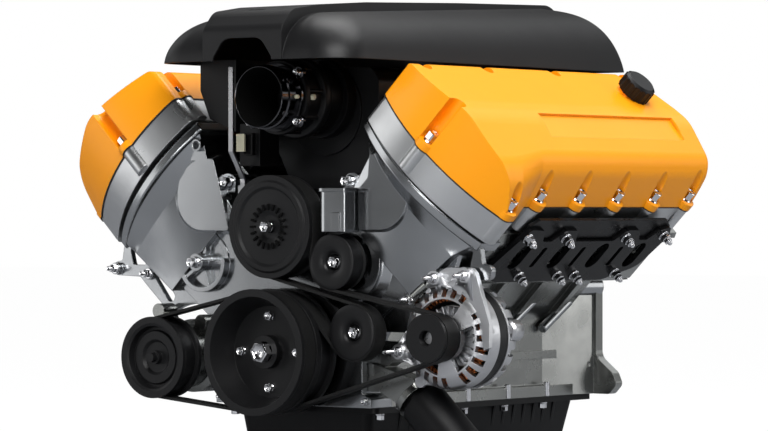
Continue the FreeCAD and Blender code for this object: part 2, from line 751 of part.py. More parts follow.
def timing_chains():
    """Two chains, each round the crank sprocket and one bank's two cam sprockets."""
    chains = []
    height = size("cam_height")
    offset = size("cam_offset")
    for bank, station in ((RIGHT_BANK, 116), (LEFT_BANK, 128)):
        wheels = [(Vector(0, 0, 0), 22.4, 1)]
        for w in (offset, -offset):
            point = to_bank(bank * w, 0, height, bank)
            wheels.append((Vector(point.x, point.z, 0), 42.4, 1))
        chains.append(belt_solid(wheels, 5, station - 3, station + 3))
    casting("timing_chains", Part.makeCompound(chains))


def belt_solid(wheels, thickness, front, rear):
    """Make a closed belt round wheels given as (centre, inner or back radius, side)."""
    outer = Part.Face(belt_wire(wheels, thickness))
    inner = Part.Face(belt_wire(wheels, 0))
    ring = outer.cut(inner)
    ring.rotate(Vector(), X_AXIS, 90)
    ring.translate(Vector(0, front, 0))
    return ring.extrude(Vector(0, rear - front, 0))


def belt_wire(wheels, outward):
    """Trace a belt's inner face, or a face further out, anticlockwise round its wheels.

    A wheel inside the loop has side 1. A wheel that presses on the belt's back has side -1 and
    its radius is that of the back face, so the inner face runs one thickness further out.
    """
    circles = []
    for centre, radius, side in wheels:
        reach = radius + outward if side == 1 else radius + size("belt_thickness") - outward
        circles.append((centre, reach, side))
    leaves = []
    enters = [None] * len(circles)
    for index, (centre, radius, side) in enumerate(circles):
        following = (index + 1) % len(circles)
        next_centre, next_radius, next_side = circles[following]
        across = next_centre - centre
        heading = math.atan2(across.y, across.x)
        heading -= math.asin((next_side * next_radius - side * radius) / across.Length)
        normal = Vector(-math.sin(heading), math.cos(heading), 0)
        leaves.append(centre - normal * side * radius)
        enters[following] = next_centre - normal * next_side * next_radius
    edges = []
    for index, (centre, radius, side) in enumerate(circles):
        start = enters[index] - centre
        end = leaves[index] - centre
        turn = math.atan2(end.y, end.x) - math.atan2(start.y, start.x)
        turn = turn % (2 * math.pi) if side == 1 else -(-turn % (2 * math.pi))
        half_way = math.atan2(start.y, start.x) + turn / 2
        middle = centre + Vector(math.cos(half_way), math.sin(half_way), 0) * radius
        edges.append(Part.Arc(enters[index], middle, leaves[index]).toShape())
        edges.append(Part.LineSegment(leaves[index],
                                      enters[(index + 1) % len(circles)]).toShape())
    return Part.Wire(edges)


def drive_belts():
    """The main belt round crank, alternator, idlers and pump, and the compressor's belt."""
    gap = size("belt_gap")

    def centre(name):
        return Vector(size(f"{name}_x"), size(f"{name}_z"), 0)

    crank = (Vector(0, 0, 0), size("crank_groove") + gap, 1)
    main = [crank,
            (centre("alternator"), size("alternator_groove") + gap, 1),
            (centre("upper_idler"), size("idler_groove") + gap, -1),
            (Vector(0, size("pump_height"), 0), size("pump_groove") + gap, 1),
            (centre("lower_idler"), size("idler_groove") + gap, -1)]
    thick = size("belt_thickness")
    casting("drive_belt_main", belt_solid(main, thick, size("main_belt_front") + 0.5,
                                          size("main_belt_rear") - 0.5))
    second = [crank, (centre("compressor"), size("compressor_groove") + gap, 1)]
    casting("drive_belt_compressor", belt_solid(second, thick, size("second_belt_front") + 0.5,
                                                size("second_belt_rear") - 0.5))


# ---------------------------------------------------------------- heads and valve gear

def cylinder_head(bank):
    """Cast head with chambers, plug wells, ports, valve bores and outer scallops."""
    front = size("block_front")
    rear = size("head_rear")
    top = size("head_top")
    deck = size("deck_height") + 1.5
    body = front_prism([(-92, deck), (-95, 262, 4), (-95, top), (112, top), (118, 336, 5),
                        (118, 262, 5), (92, deck)], front, rear)
    shape = body
    for station in bores(bank):
        w_out = rod(15, Vector(60, station, 300), Vector(119, station, 316))
        w_in = rod(17, Vector(-50, station, 290), Vector(-96, station, 300))
        chamber = taper(41, 26, Vector(0, station, deck - 0.1), Vector(0, station, deck + 14))
        well = rod(12, Vector(0, station, deck + 26), Vector(0, station, top + 1))
        thread = rod(7, Vector(0, station, deck + 10), Vector(0, station, deck + 27))
        shape = shape.cut(Part.makeCompound([w_out, w_in, well]))
        shape = shape.cut(chamber).cut(thread)
        for w in (-45, 45):
            shape = shape.cut(rod(18, Vector(w, station - 19, top - 30),
                                  Vector(w, station - 19, top + 1)))
            shape = shape.cut(rod(18, Vector(w, station + 19, top - 30),
                                  Vector(w, station + 19, top + 1)))
    for first, second in zip(bores(bank), bores(bank)[1:]):
        middle = (first + second) / 2
        notch = side_prism([(middle - 26, 238, 6), (middle + 26, 238, 6),
                            (middle + 18, 262, 6), (middle - 18, 262, 6)], 96, 130)
        shape = shape.cut(notch)
    if bank == LEFT_BANK:
        shape = mirrored(shape)
    name = "right" if bank == RIGHT_BANK else "left"
    casting(f"cylinder_head_{name}", shape, bank)


def head_gaskets():
    """Thin gaskets between the block's decks and the heads, with the bores open."""
    deck = size("deck_height")
    pieces = []
    for bank in (RIGHT_BANK, LEFT_BANK):
        sheet_shape = box(-66, 66, size("block_front"), 600, deck, deck + 1.5)
        for station in bores(bank):
            sheet_shape = sheet_shape.cut(rod(46, Vector(0, station, deck - 1),
                                              Vector(0, station, deck + 2)))
        pieces.append(leaning(sheet_shape, bank))
    return pieces


def valves():
    """Shut intake and exhaust valves of both heads: disc, stem and bucket."""
    top = size("head_top")
    low = size("deck_height") + 16
    pieces = []
    for bank in (RIGHT_BANK, LEFT_BANK):
        for station in bores(bank):
            for w in (-size("valve_offset"), size("valve_offset")):
                for shift in (-19, 19):
                    place_at = Vector(bank * w, station + shift, 0)
                    stem = rod(3, place_at + UP * low, place_at + UP * (top - 16))
                    plate = taper(14, 3, place_at + UP * low, place_at + UP * (low + 7))
                    bucket = rod(13, place_at + UP * (top - 18), place_at + UP * (top - 2))
                    pieces.append(leaning(stem.fuse([plate, bucket]), bank))
    casting("valves", Part.makeCompound(pieces))


def spark_plugs():
    """Eight spark plugs with their coils, down the plug wells."""
    deck = size("deck_height") + 1.5
    pieces = []
    for bank in (RIGHT_BANK, LEFT_BANK):
        for station in bores(bank):
            foot = Vector(0, station, deck + 8)
            thread = rod(6.8, foot, Vector(0, station, deck + 27))
            nut = hexagon(16, Vector(0, station, deck + 27), Vector(0, station, deck + 36))
            coil = rod(10, Vector(0, station, deck + 36), Vector(0, station, 450))
            pieces.append(leaning(thread.fuse([nut, coil]), bank))
    casting("spark_plugs", Part.makeCompound(pieces))


def flange_points(inset):
    """Plan of the joint between carrier and cover, in bank directions, less an inset.

    Returns the two ends and the middle of the arched front, and the other corners.
    """
    centre_w = size("flange_centre_w")
    centre_s = size("flange_centre_s")
    radius = size("flange_radius") - inset
    left = size("flange_inner_w") + inset
    right = size("flange_corner_w") - inset
    side = size("flange_outer_w") - inset
    rear = size("cover_rear") - inset

    def arch(w):
        return centre_s - math.sqrt(radius ** 2 - (w - centre_w) ** 2)

    return (Vector(left, arch(left), 0), Vector(centre_w, centre_s - radius, 0),
            Vector(right, arch(right), 0),
            [Vector(right, 116, 0), Vector(side, 168, 0), Vector(side, rear, 0),
             Vector(left, rear, 0)])


def flange_prism(inset, low, high, rounding):
    """Extrude that plan between two heights and round its upright corners."""
    start, crown, end, rest = flange_points(inset)
    edges = [Part.Arc(start, crown, end).toShape()]
    corners = [end] + rest + [start]
    edges += [Part.LineSegment(a, b).toShape() for a, b in zip(corners, corners[1:])]
    face = Part.Face(Part.Wire(edges))
    face.translate(Vector(0, 0, low))
    prism = face.extrude(Vector(0, 0, high - low))
    upright = [edge for edge in prism.Edges
               if abs(edge.Vertexes[0].X - edge.Vertexes[-1].X) < 1e-6
               and abs(edge.Vertexes[0].Y - edge.Vertexes[-1].Y) < 1e-6]
    return prism.makeFillet(rounding, upright)


def cover_bolt_places():
    """Seats of one cover's bolts as (w, s), in bank directions."""
    side = [(99, 196 + size("bore_spacing") * index) for index in range(5)]
    inner = [(-115, 84), (-113, 230), (-113, 400), (-113, 580)]
    return [(-15, 47), (118, 104)] + side[:4] + [(97, 584)] + inner


def cam_carrier(bank):
    """Ring-shaped carrier with five bearing webs for the two camshafts."""
    low = size("head_top")
    high = size("carrier_top")
    height = size("cam_height")
    shape = flange_prism(1, low, high, 12).cut(flange_prism(13, low - 1, high + 1, 8))
    pieces = []
    for station in mains():
        pieces.append(box(-118, 98, station - 7, station + 7, low, high - 4))
    for w, s in cover_bolt_places():
        pieces.append(rod(14, Vector(w, s, low + 4), Vector(w, s, high)))
    shape = shape.fuse(pieces)
    for w in (-size("cam_offset"), size("cam_offset")):
        for station in mains():
            shape = shape.cut(rod(20 + size("running_gap"), Vector(w, station - 8, height),
                                  Vector(w, station + 8, height)))
    for station in bores(bank):
        shape = shape.cut(rod(12, Vector(0, station, low - 1), Vector(0, station, high + 1)))
    if bank == LEFT_BANK:
        shape = mirrored(shape)
    name = "right" if bank == RIGHT_BANK else "left"
    casting(f"cam_carrier_{name}", shape, bank)


def camshaft(kind, bank, w):
    """Camshaft with five journals, eight pairs of lobes and its sprocket."""
    height = size("cam_height")
    rear = mains()[-1] + 12
    shaft = rod(11, Vector(0, 104, 0), Vector(0, rear, 0))
    pieces = [rod(20, Vector(0, station - 7, 0), Vector(0, station + 7, 0))
              for station in mains()]
    turns = [0, 90, 270, 180]
    for index, station in enumerate(bores(bank)):
        for shift in (-19, 19):
            lobe = cam_lobe(station + shift - 6, station + shift + 6)
            lobe.rotate(Vector(), REARWARD, turns[index] + (40 if kind == "intake" else -40))
            pieces.append(lobe)
    station = 116 if bank == RIGHT_BANK else 128
    pieces.append(toothed_wheel(38, 40, station - 4, station + 4))
    pieces.append(rod(16, Vector(0, 100, 0), Vector(0, station + 8, 0)))
    shape = shaft.fuse(pieces)
    shape.translate(Vector(bank * w, 0, height))
    name = "right" if bank == RIGHT_BANK else "left"
    casting(f"camshaft_{kind}_{name}", shape, bank)


def cam_lobe(start, end):
    """Egg-shaped lobe, with its nose straight up."""
    return front_prism([(-13, -13, 12), (13, -13, 12), (13, 4, 10), (0, 30, 8), (-13, 4, 10)],
                       start, end)


def valve_cover_gaskets():
    """Thin black gaskets under the two covers."""
    pieces = []
    for bank in (RIGHT_BANK, LEFT_BANK):
        ring = flange_prism(-0.3, size("carrier_top"), size("cover_base"), 12)
        ring = ring.cut(flange_prism(12, size("carrier_top") - 1, size("cover_base") + 1, 8))
        for w, s in cover_bolt_places():
            ear = rod(15, Vector(w, s, size("carrier_top")), Vector(w, s, size("cover_base")))
            ring = ring.fuse(ear)
        if bank == LEFT_BANK:
            ring = mirrored(ring)
        pieces.append(leaning(ring, bank))
    return pieces


def gaskets():
    """All the flat gaskets of the two heads."""
    casting("gaskets", Part.makeCompound(head_gaskets() + valve_cover_gaskets()))


def cover_sections(inset):
    """Cross sections of the cover at its flared front corner and along the engine."""
    base = size("cover_base") - (1 if inset else 0)
    top = [(-124, 460, 14), (-20, 483, 60), (11, 488, 70)]
    front = top + [(86, 468, 56), (108, 452, 56), (134, base)]
    along = top + [(77, 471, 34), (91, 452, 40), (104, base)]
    sections = []
    for shoulder in (front, along):
        points = [(-124, base)] + shoulder
        sections.append([(point[0] - inset * (1 if point[0] > 0 else -1),
                          point[1] - (inset if point[1] > base else 0), *point[2:])
                         for point in points])
    return sections


def cover_body(inset):
    """Outer or inner form of a valve cover: its plan and its cross section together."""
    base = size("cover_base") - (1 if inset else 0)
    front, along = cover_sections(inset)
    plan = flange_prism(inset, base, 500, 10)
    nose = front_prism(front, 20, 112)
    tail = front_prism(along, 172, 640)
    wires = []
    for points, station in ((front, 112), (along, 172)):
        wire = outline(points)
        wire.rotate(Vector(), X_AXIS, 90)
        wire.translate(Vector(0, station, 0))
        wires.append(wire)
    blend = Part.makeLoft(wires, True, True)
    return plan.common(nose.fuse([blend, tail]))


def bolt_pocket(w, s, radius):
    """Space above one bolt's seat, open outwards where the bolt is near a wall."""
    low = size("cover_base") + 11
    space = rod(radius, Vector(w, s, low), Vector(w, s, 500))
    if s < 80 and w > -60:
        return space.fuse(box(w - radius, w + radius, s - 40, s, low, 500))
    if w > 0:
        return space.fuse(box(w, w + 50, s - radius, s + radius, low, 500))
    return space.fuse(box(w - 50, w, s - radius, s + radius, low, 500))


def valve_cover(bank):
    """Pressed-looking cast cover with bolt pockets, a recessed panel and a filler neck."""
    base = size("cover_base")
    outside = cover_body(0)
    inside = cover_body(4)
    pockets = [bolt_pocket(w, s, 11) for w, s in cover_bolt_places()]
    linings = [bolt_pocket(w, s, 14.5) for w, s in cover_bolt_places()]
    ears = [rod(15.5, Vector(w, s, base), Vector(w, s, base + 11))
            for w, s in cover_bolt_places()]
    lining_low = [rod(14.5, Vector(w, s, base - 1), Vector(w, s, base + 12))
                  for w, s in cover_bolt_places()]
    outer = outside.cut(Part.makeCompound(pockets)).fuse(ears)
    sunk = panel_recess()
    outer = outer.cut(sunk)
    hollow = inside.cut(Part.makeCompound(linings)).cut(Part.makeCompound(lining_low))
    hollow = hollow.cut(sunk.translated(Vector(0, 0, -4)))
    shape = outer.cut(hollow)
    for w, s in cover_bolt_places():
        shape = shape.cut(rod(4, Vector(w, s, base - 2), Vector(w, s, base + 14)))
    if bank == RIGHT_BANK:
        neck, hole = filler_neck()
        seat, along = filler_seat()
        cap_room = rod(28, seat + along * 10, seat + along * 40)
        shape = shape.fuse(neck).cut(hole).cut(cap_room)
    else:
        shape = mirrored(shape)
    name = "right" if bank == RIGHT_BANK else "left"
    casting(f"valve_cover_{name}", shape.removeSplitter(), bank)


def panel_recess():
    """Shallow recess on the cover's top slope, deeper at its upper edge."""
    wedge = front_prism([(4, 492), (4, 482.5), (44, 477.5), (44, 492)], 215, 563)
    return wedge


def filler_seat():
    """Where the oil filler cap sits on the right cover, and which way it faces."""
    return Vector(-56, 529, 470), Vector(0, 0, 1)


def filler_neck():
    """Neck of the oil filler and the hole through it."""
    seat, along = filler_seat()
    neck = rod(22, seat - along * 8, seat + along * 10)
    hole = rod(16, seat - along * 24, seat + along * 12)
    return neck, hole


def oil_filler_cap():
    """Ribbed cap on the right cover's filler neck."""
    seat, along = filler_seat()
    rim = seat + along * 10.3
    cap = rod(25, rim, rim + along * 21)
    top = taper(25, 21, rim + along * 21, rim + along * 24)
    plug = rod(15.6, rim - along * 14, rim)
    pieces = [top, plug]
    for step in range(16):
        turn = math.radians(22.5 * step)
        place_at = rim + Vector(24.6 * math.cos(turn), 24.6 * math.sin(turn), 0)
        pieces.append(rod(2, place_at, place_at + along * 20))
    casting("oil_filler_cap", cap.fuse(pieces), RIGHT_BANK)


def valve_cover_bolts():
    """Bolts that hold both covers and carriers down."""
    base = size("cover_base") + 11
    bolts = []
    for bank in (RIGHT_BANK, LEFT_BANK):
        for w, s in cover_bolt_places():
            seat = Vector(bank * w, s, base)
            head = rod(9.5, seat, seat + UP * 4).fuse(hexagon(15, seat, seat + UP * 16))
            shank = rod(3.9, seat - UP * 30, seat)
            bolts.append(leaning(head.fuse(shank), bank))
    casting("valve_cover_bolts", Part.makeCompound(bolts))


# ---------------------------------------------------------------- intake, exhaust and top cover

def intake_manifold():
    """Plenum in the V with eight runners down to the two port flanges."""
    front = size("plenum_front")
    half = [(84, 412, 22), (96, 392, 14), (96, 300, 24), (58, 226, 14)]
    shape = front_prism(both_sides(half), front, 592)
    collar = rod(66, Vector(0, front - 4, size("intake_z") - 16),
                 Vector(0, front + 20, size("intake_z") - 16))
    shape = shape.fuse(collar)
    for bank in (RIGHT_BANK, LEFT_BANK):
        flange = box(-103, -95.2, 170, 590, 276, 326) if bank == RIGHT_BANK else \
            box(-103, -95.2, 150, 572, 276, 326)
        pieces = [flange]
        for station in bores(bank):
            pieces.append(rod(23, Vector(-150, station, 300), Vector(-96, station, 300)))
        group = pieces[0].fuse(pieces[1:])
        group = leaning(group, 1)
        shape = shape.fuse(group if bank == RIGHT_BANK else mirrored(group))
    bore = size("throttle_bore")
    inlet = rod(bore, Vector(0, front - 10, size("intake_z")),
                Vector(0, front + 60, size("intake_z")))
    casting("intake_manifold", shape.cut(inlet))


def throttle_body():
    """Round throttle housing with its shaft bosses and motor box."""
    z = size("intake_z")
    front = size("throttle_front")
    rear = size("plenum_front")
    shape = rod(49, Vector(0, front, z), Vector(0, rear - 24, z))
    shape = shape.fuse([rod(58, Vector(0, rear - 24, z), Vector(0, rear - 4.2, z)),
                        rod(11, Vector(0, front + 18, z - 54), Vector(0, front + 18, z + 54)),
                        box(-78, -40, front + 2, front + 34, z - 34, z + 22)])
    bore = rod(size("throttle_bore"), Vector(0, front - 1, z), Vector(0, rear, z))
    shaft = rod(5, Vector(0, front + 18, z - 48), Vector(0, front + 18, z + 48))
    casting("throttle_body", shape.cut(bore).cut(shaft))


def throttle_plate():
    """Butterfly plate on its shaft, shut across the bore with a slight tilt."""
    z = size("intake_z")
    station = size("throttle_front") + 18
    plate = rod(size("throttle_bore") - 0.6, Vector(0, station - 1, z),
                Vector(0, station + 1, z))
    shaft = rod(4.95, Vector(0, station, z - 47.5), Vector(0, station, z + 47.5))
    plate = plate.cut(box(-2, 2, station - 5, station + 5, z - 60, z - 39.2))
    casting("throttle_plate", plate.fuse(shaft))


def intake_tube():
    """Polished inlet tube: plain hose seat, thicker behind it, bead and four-eared flange."""
    z = size("intake_z")
    front = size("intake_mouth")
    rear = size("throttle_front")
    radius = size("intake_radius")
    seat = Vector(0, front + 46, z)
    shape = rod(radius, Vector(0, front, z), seat)
    shape = shape.fuse([rod(radius + 1.5, seat, Vector(0, rear, z)),
                        rod(radius + 3, Vector(0, front + 49, z), Vector(0, front + 55, z)),
                        rod(52, Vector(0, rear - 8, z), Vector(0, rear, z))])
    for turn in (45, 135, 225, 315):
        x = 55 * math.cos(math.radians(turn))
        up = 55 * math.sin(math.radians(turn))
        shape = shape.fuse(rod(9, Vector(x, rear - 8, z + up), Vector(x, rear, z + up)))
    bore = rod(size("throttle_bore") + 2, Vector(0, front - 1, z), Vector(0, rear - 10, z))
    step = taper(size("throttle_bore") + 2, size("throttle_bore"), Vector(0, rear - 10, z),
                 Vector(0, rear + 0.1, z))
    casting("intake_tube", shape.cut(bore).cut(step))


def fuel_rails():
    """Two fuel rails with eight injectors, between the plenum and the covers."""
    pieces = []
    for bank in (RIGHT_BANK, LEFT_BANK):
        stations = bores(bank)
        rail = rod(8, Vector(bank * -172, stations[0] - 30, 354),
                   Vector(bank * -172, stations[-1] + 30, 354))
        injectors = [rod(6, Vector(bank * -168, station, 350),
                         Vector(bank * -142, station, 312)) for station in stations]
        pieces.append(leaning(rail.fuse(injectors), bank))
    casting("fuel_rails", Part.makeCompound(pieces))


def lid_outline(inset, front_height, rear_height):
    """Plan of the engine cover at one inset, tilted up towards the rear."""
    half = size("lid_half") - inset
    front = size("lid_front") + inset
    rear = size("lid_rear") - inset
    corner = max(size("lid_corner") - 0.3 * inset, 12)
    wire = outline([(-half, front, corner), (half, front, corner), (half, rear, 10),
                    (-half, rear, 10)])
    slope = (rear_height - front_height) / (rear - front)
    tilt = FreeCAD.Matrix()
    tilt.A32 = slope
    tilt.A34 = front_height - slope * front
    return wire.transformGeometry(tilt)


def lid_form(wall):
    """Domed solid of the engine cover, less a wall thickness."""
    low = size("lid_bottom") - (1 if wall else 0)
    levels = [(0, low, low), (3, 431, 433), (10, 446, 455), (22, 461, 478), (40, 474, 497),
              (64, 483, 509), (92, 487, 515)]
    wires = [lid_outline(inset + wall, max(front - wall, low), max(rear - wall, low))
             for inset, front, rear in levels]
    return Part.makeLoft(wires, True, False)


def lid_spine(wall):
    """Flat-sided raised panel that runs over the middle of the engine cover."""
    half = size("lid_spine_half") - wall
    front = size("lid_front") - 1.5 + wall
    rear = size("lid_rear") + 2 - wall
    low = size("lid_bottom") - (1 if wall else 0)
    top = size("lid_spine_top") - wall
    side = [(front, low), (front, 462 - wall, 22), (front + 24, 489 - wall, 30),
            (60, 498 - wall, 60), (170, 506 - wall, 200), (400, top - 7, 300),
            (640, top, 50), (rear - 8, 488 - wall, 18), (rear, low)]
    return side_prism(side, -half, half)


def engine_cover():
    """Moulded domed cover over the intake, with a raised spine and an arch for the throttle."""
    low = size("lid_bottom")
    shell = lid_form(0).fuse(lid_spine(0)).cut(lid_form(3.5)).cut(lid_spine(3.5))
    half = size("lid_arch_half")
    height = size("lid_arch_height")
    front = size("lid_front")
    arch = front_prism([(-half, low - 5), (-half, low + 4, 3), (-half + 20, low + height, 24),
                        (half - 20, low + height, 24), (half, low + 4, 3),
                        (half, low - 5)], front - 5, 90)
    slot = plan_prism([(-16, front + 30, 3), (16, front + 30, 3), (16, front + 37, 3),
                       (-16, front + 37, 3)], 470, 510)
    casting("engine_cover", shell.cut(arch).cut(slot))


def exhaust_flange(bank):
    """Thick exhaust flange plate with four oval ports, slots and a scalloped edge."""
    stations = bores(bank)
    first = stations[0]
    points = [(first - 62, 300, 12), (first - 48, 276, 10), (first - 20, 268, 8),
              (first + 250, 268, 8), (first + 318, 296, 30), (first + 336, 360, 10),
              (first + 322, 378, 8), (first + 300, 372, 8), (first + 284, 352, 8),
              (first + 262, 352, 8), (first + 244, 372, 8), (first + 214, 372, 8),
              (first + 196, 350, 8), (first + 98, 350, 8), (first + 84, 372, 8),
              (first + 54, 372, 8), (first + 38, 350, 8), (first + 16, 350, 8),
              (first, 372, 8), (first - 34, 374, 8)]
    plate = side_prism(points, 118.2, 126)
    for station in stations:
        ends = [rod(14, Vector(117, station - 11, h), Vector(127, station - 11, h))
                for h in (309, 331)]
        middle = box(117, 127, station - 25, station + 3, 309, 331)
        plate = plate.cut(middle.fuse(ends))
    for station in stations[:3]:
        slot = side_prism([(station + 32, 338, 4), (station + 42, 338, 4),
                           (station + 42, 298, 4), (station + 32, 298, 4)], 117, 127)
        plate = plate.cut(slot)
    if bank == LEFT_BANK:
        plate = mirrored(plate)
    name = "right" if bank == RIGHT_BANK else "left"
    casting(f"exhaust_flange_{name}", plate, bank)


def exhaust_nut_places(bank):
    """Places of one side's exhaust nuts as (s, h), in bank directions."""
    first = bores(bank)[0]
    upper = [(first - 30, 358), (first + 65, 358), (first + 220, 358), (first + 317, 362)]
    lower = [(first + 24, 281), (first + 120, 281), (first + 164, 281), (first + 267, 284)]
    return upper + lower


def exhaust_nuts():
    """Studs and nuts that hold the exhaust flanges."""
    pieces = []
    for bank in (RIGHT_BANK, LEFT_BANK):
        for s, h in exhaust_nut_places(bank):
            face = Vector(bank * 126, s, h)
            out = Vector(bank, 0, 0)
            nut = hexagon(13, face, face + out * 8)
            stud = rod(4, face - out * 7.7, face + out * 16)
            pieces.append(leaning(nut.fuse(stud), bank))
    casting("exhaust_nuts", Part.makeCompound(pieces))


# ---------------------------------------------------------------- front drive

def crank_pulley():
    """Two-groove damper pulley with a dished front and a long hub."""
    body = revolved("crank_pulley", [
        ("15.02", "26"), ("24", "26"), ("24", "39"), ("66", "39"), ("crank_rim - 11", "0"),
        ("crank_rim", "0"), ("crank_rim", "7"), ("crank_groove", "second_belt_front"),
        ("crank_groove", "second_belt_rear"), ("crank_rim", "35"), ("crank_rim", "45"),
        ("crank_groove", "main_belt_front"), ("crank_groove", "main_belt_rear"),
        ("crank_rim", "73"), ("crank_rim", "79"), ("60", "79"), ("60", "60"), ("36", "60"),
        ("28", "78"), ("24", "80"), ("24", "111"), ("15.02", "111")])
    place(body)
    keep(body, "crank_pulley")


def crank_pulley_bolts():
    """Large centre bolt with its washer, and the four small bolts round it."""
    centre = Vector(0, 26, 0)
    group = [rod(18, centre, Vector(0, 22, 0)), hexagon(24, Vector(0, 22, 0), Vector(0, 9, 0)),
             rod(5.9, Vector(0, 58, 0), centre)]
    middle = group[0].fuse(group[1:])
    bolts = [middle]
    for turn in range(4):
        angle = math.radians(90 * turn)
        seat = Vector(48.5 * math.cos(angle), 39, 48.5 * math.sin(angle))
        bolts.append(bolt(seat, Vector(0, -1, 0), 3.5, 8))
    casting("crank_pulley_bolts", Part.makeCompound(bolts))


def water_pump_pulley():
    """Pump pulley with a slotted web, its shaft and the impeller behind."""
    body = revolved("water_pump_pulley", [
        ("0", "pump_front - 4"), ("9", "pump_front - 4"), ("9", "pump_front + 7"),
        ("17", "pump_front + 7"), ("28", "pump_front + 2"), ("54", "pump_front + 3"),
        ("58", "pump_front"), ("64", "pump_front"), ("67", "pump_front + 2"),
        ("pump_rim", "pump_front + 2"), ("pump_rim", "45"), ("pump_groove", "main_belt_front"),
        ("pump_groove", "main_belt_rear"), ("pump_rim", "73"), ("pump_rim", "76"),
        ("62", "76"), ("62", "58"), ("20", "58"), ("12", "62"), ("12", "96"), ("33", "97"),
        ("33", "100"), ("12", "100"), ("12", "106"), ("0", "106")])
    slot = body.newObject("Sketcher::SketchObject", "Slot")
    plane = next(item for item in body.Origin.OriginFeatures if item.Role == "XZ_Plane")
    slot.AttachmentSupport = [(plane, "")]
    slot.MapMode = "FlatFace"
    corners = [Vector(30, -1.6, 0), Vector(39, -1.6, 0), Vector(39, 1.6, 0),
               Vector(30, 1.6, 0)]
    for start, end in zip(corners, corners[1:] + corners[:1]):
        slot.addGeometry(Part.LineSegment(start, end))
    cut = body.newObject("PartDesign::Pocket", "SlotCut")
    cut.Profile = slot
    cut.Length = 54
    cut.Reversed = True
    ring = body.newObject("PartDesign::PolarPattern", "Slots")
    ring.Originals = [cut]
    axis = next(item for item in body.Origin.OriginFeatures if item.Role == "Y_Axis")
    ring.Axis = (axis, [""])
    ring.Angle = 360
    ring.Occurrences = 20
    body.Tip = ring
    place(body, z="pump_height")
    keep(body, "water_pump_pulley")


def idler(name, x, z):
    """Smooth flanged idler that turns on a pin."""
    body = revolved(name, [
        ("8", "idler_front + 4"), ("13", "idler_front + 4"), ("15", "idler_front + 9"),
        ("29", "idler_front + 5"), ("32", "idler_front"), ("idler_rim", "idler_front"),
        ("idler_rim", "45.4"), ("idler_groove", "main_belt_front"),
        ("idler_groove", "main_belt_rear"), ("idler_rim", "72.6"), ("idler_rim", "74"),
        ("30", "74"), ("28", "66"), ("13", "66"), ("13", "75"), ("8", "75")])
    place(body, x=x, z=z)
    keep(body, name)


def alternator_pulley():
    """Small multi-groove pulley with an open front bore."""
    body = revolved("alternator_pulley", [
        ("8.5", "52"), ("11", "52"), ("11", "alternator_front"),
        ("alternator_rim", "alternator_front"), ("alternator_rim", "45"),
        ("alternator_groove", "main_belt_front"), ("alternator_groove", "main_belt_rear"),
        ("alternator_rim", "73"), ("alternator_rim", "76"), ("8.5", "76")])
    place(body, x="alternator_x", z="alternator_z")
    keep(body, "alternator_pulley")


def alternator_rotor():
    """Rotor: shaft, claw-pole core and the fan behind the front housing."""
    body = revolved("alternator_rotor", [
        ("0", "50"), ("8.5", "50"), ("8.5", "104"), ("44", "104"), ("46", "108"),
        ("46", "140"), ("40", "146"), ("8.5", "146"), ("8.5", "176"), ("0", "176")])
    place(body, x="alternator_x", z="alternator_z")
    keep(body, "alternator_rotor")


def alternator_front_housing():
    """Front half of the alternator case: three spokes, shoulder slots and ears."""
    outer = size("alternator_radius")
    profile = [(9.2, 79), (30, 79), (60, 83), (outer - 5, 88), (outer, 95), (outer, 116),
               (outer - 5, 116), (outer - 5, 98), (56, 89), (24, 87), (22, 98), (9.2, 98)]
    face = Part.Face(Part.makePolygon([Vector(r, s, 0) for r, s in profile + profile[:1]]))
    shape = face.revolve(Vector(), REARWARD, 360)
    for step in range(3):
        window = side_sector(33, 54, 78, 92, 41)
        window.rotate(Vector(), REARWARD, 22 + 120 * step)
        shape = shape.cut(window)
    slots = []
    for step in range(24):
        if step % 8 == 5:
            continue
        slot = box(58, 71, 80, 94.5, -2.6, 2.6)
        slot.rotate(Vector(), REARWARD, 15 * step)
        slots.append(slot)
    shape = shape.cut(Part.makeCompound(slots))
    centre = Vector(size("alternator_x"), 0, size("alternator_z"))
    shape.translate(centre)
    ears = []
    for x, z, radius, front, rear in ALTERNATOR_EARS:
        ears.append(alternator_ear(Vector(x, 0, z), radius, front, rear, centre))
    shape = shape.fuse(ears).cut(rod(outer - 5, centre + REARWARD * 98,
                                     centre + REARWARD * 117))
    casting("alternator_front_housing", shape)


def alternator_ear(tip, radius, front, rear, centre):
    """One mounting ear with its bolt boss, tangent to the case."""
    out = tip - centre
    side = Vector(-out.z, 0, out.x).normalize()
    root = centre + out.normalize() * 66
    points = [root + side * 26, root - side * 26, tip - side * radius, tip + side * radius]
    arm = front_prism([(point.x, point.z) for point in points], front + 2, rear - 0.5)
    boss = rod(radius, tip + REARWARD * front, tip + REARWARD * rear)
    return arm.fuse(boss)


def side_sector(inner, outer, start, end, half_angle):
    """Make a ring segment about the station axis, centred on +X."""
    face = Part.Face(Part.makePolygon([
        Vector(inner, start, 0), Vector(outer, start, 0), Vector(outer, end, 0),
        Vector(inner, end, 0), Vector(inner, start, 0)]))
    segment = face.revolve(Vector(), REARWARD, 2 * half_angle)
    segment.rotate(Vector(), REARWARD, -half_angle)
    return segment


def alternator_stator():
    """Stator between the two halves of the case: laminated ring and both end windings."""
    body = revolved("alternator_stator", [
        ("48", "116"), ("50", "114"), ("51", "101"), ("64", "101"), ("67", "116"),
        ("alternator_radius - 1.5", "116.2"), ("alternator_radius - 1.5", "135.8"),
        ("67", "136"), ("64", "150"), ("51", "150"), ("50", "138"), ("48", "136")])
    place(body, x="alternator_x", z="alternator_z")
    keep(body, "alternator_stator")


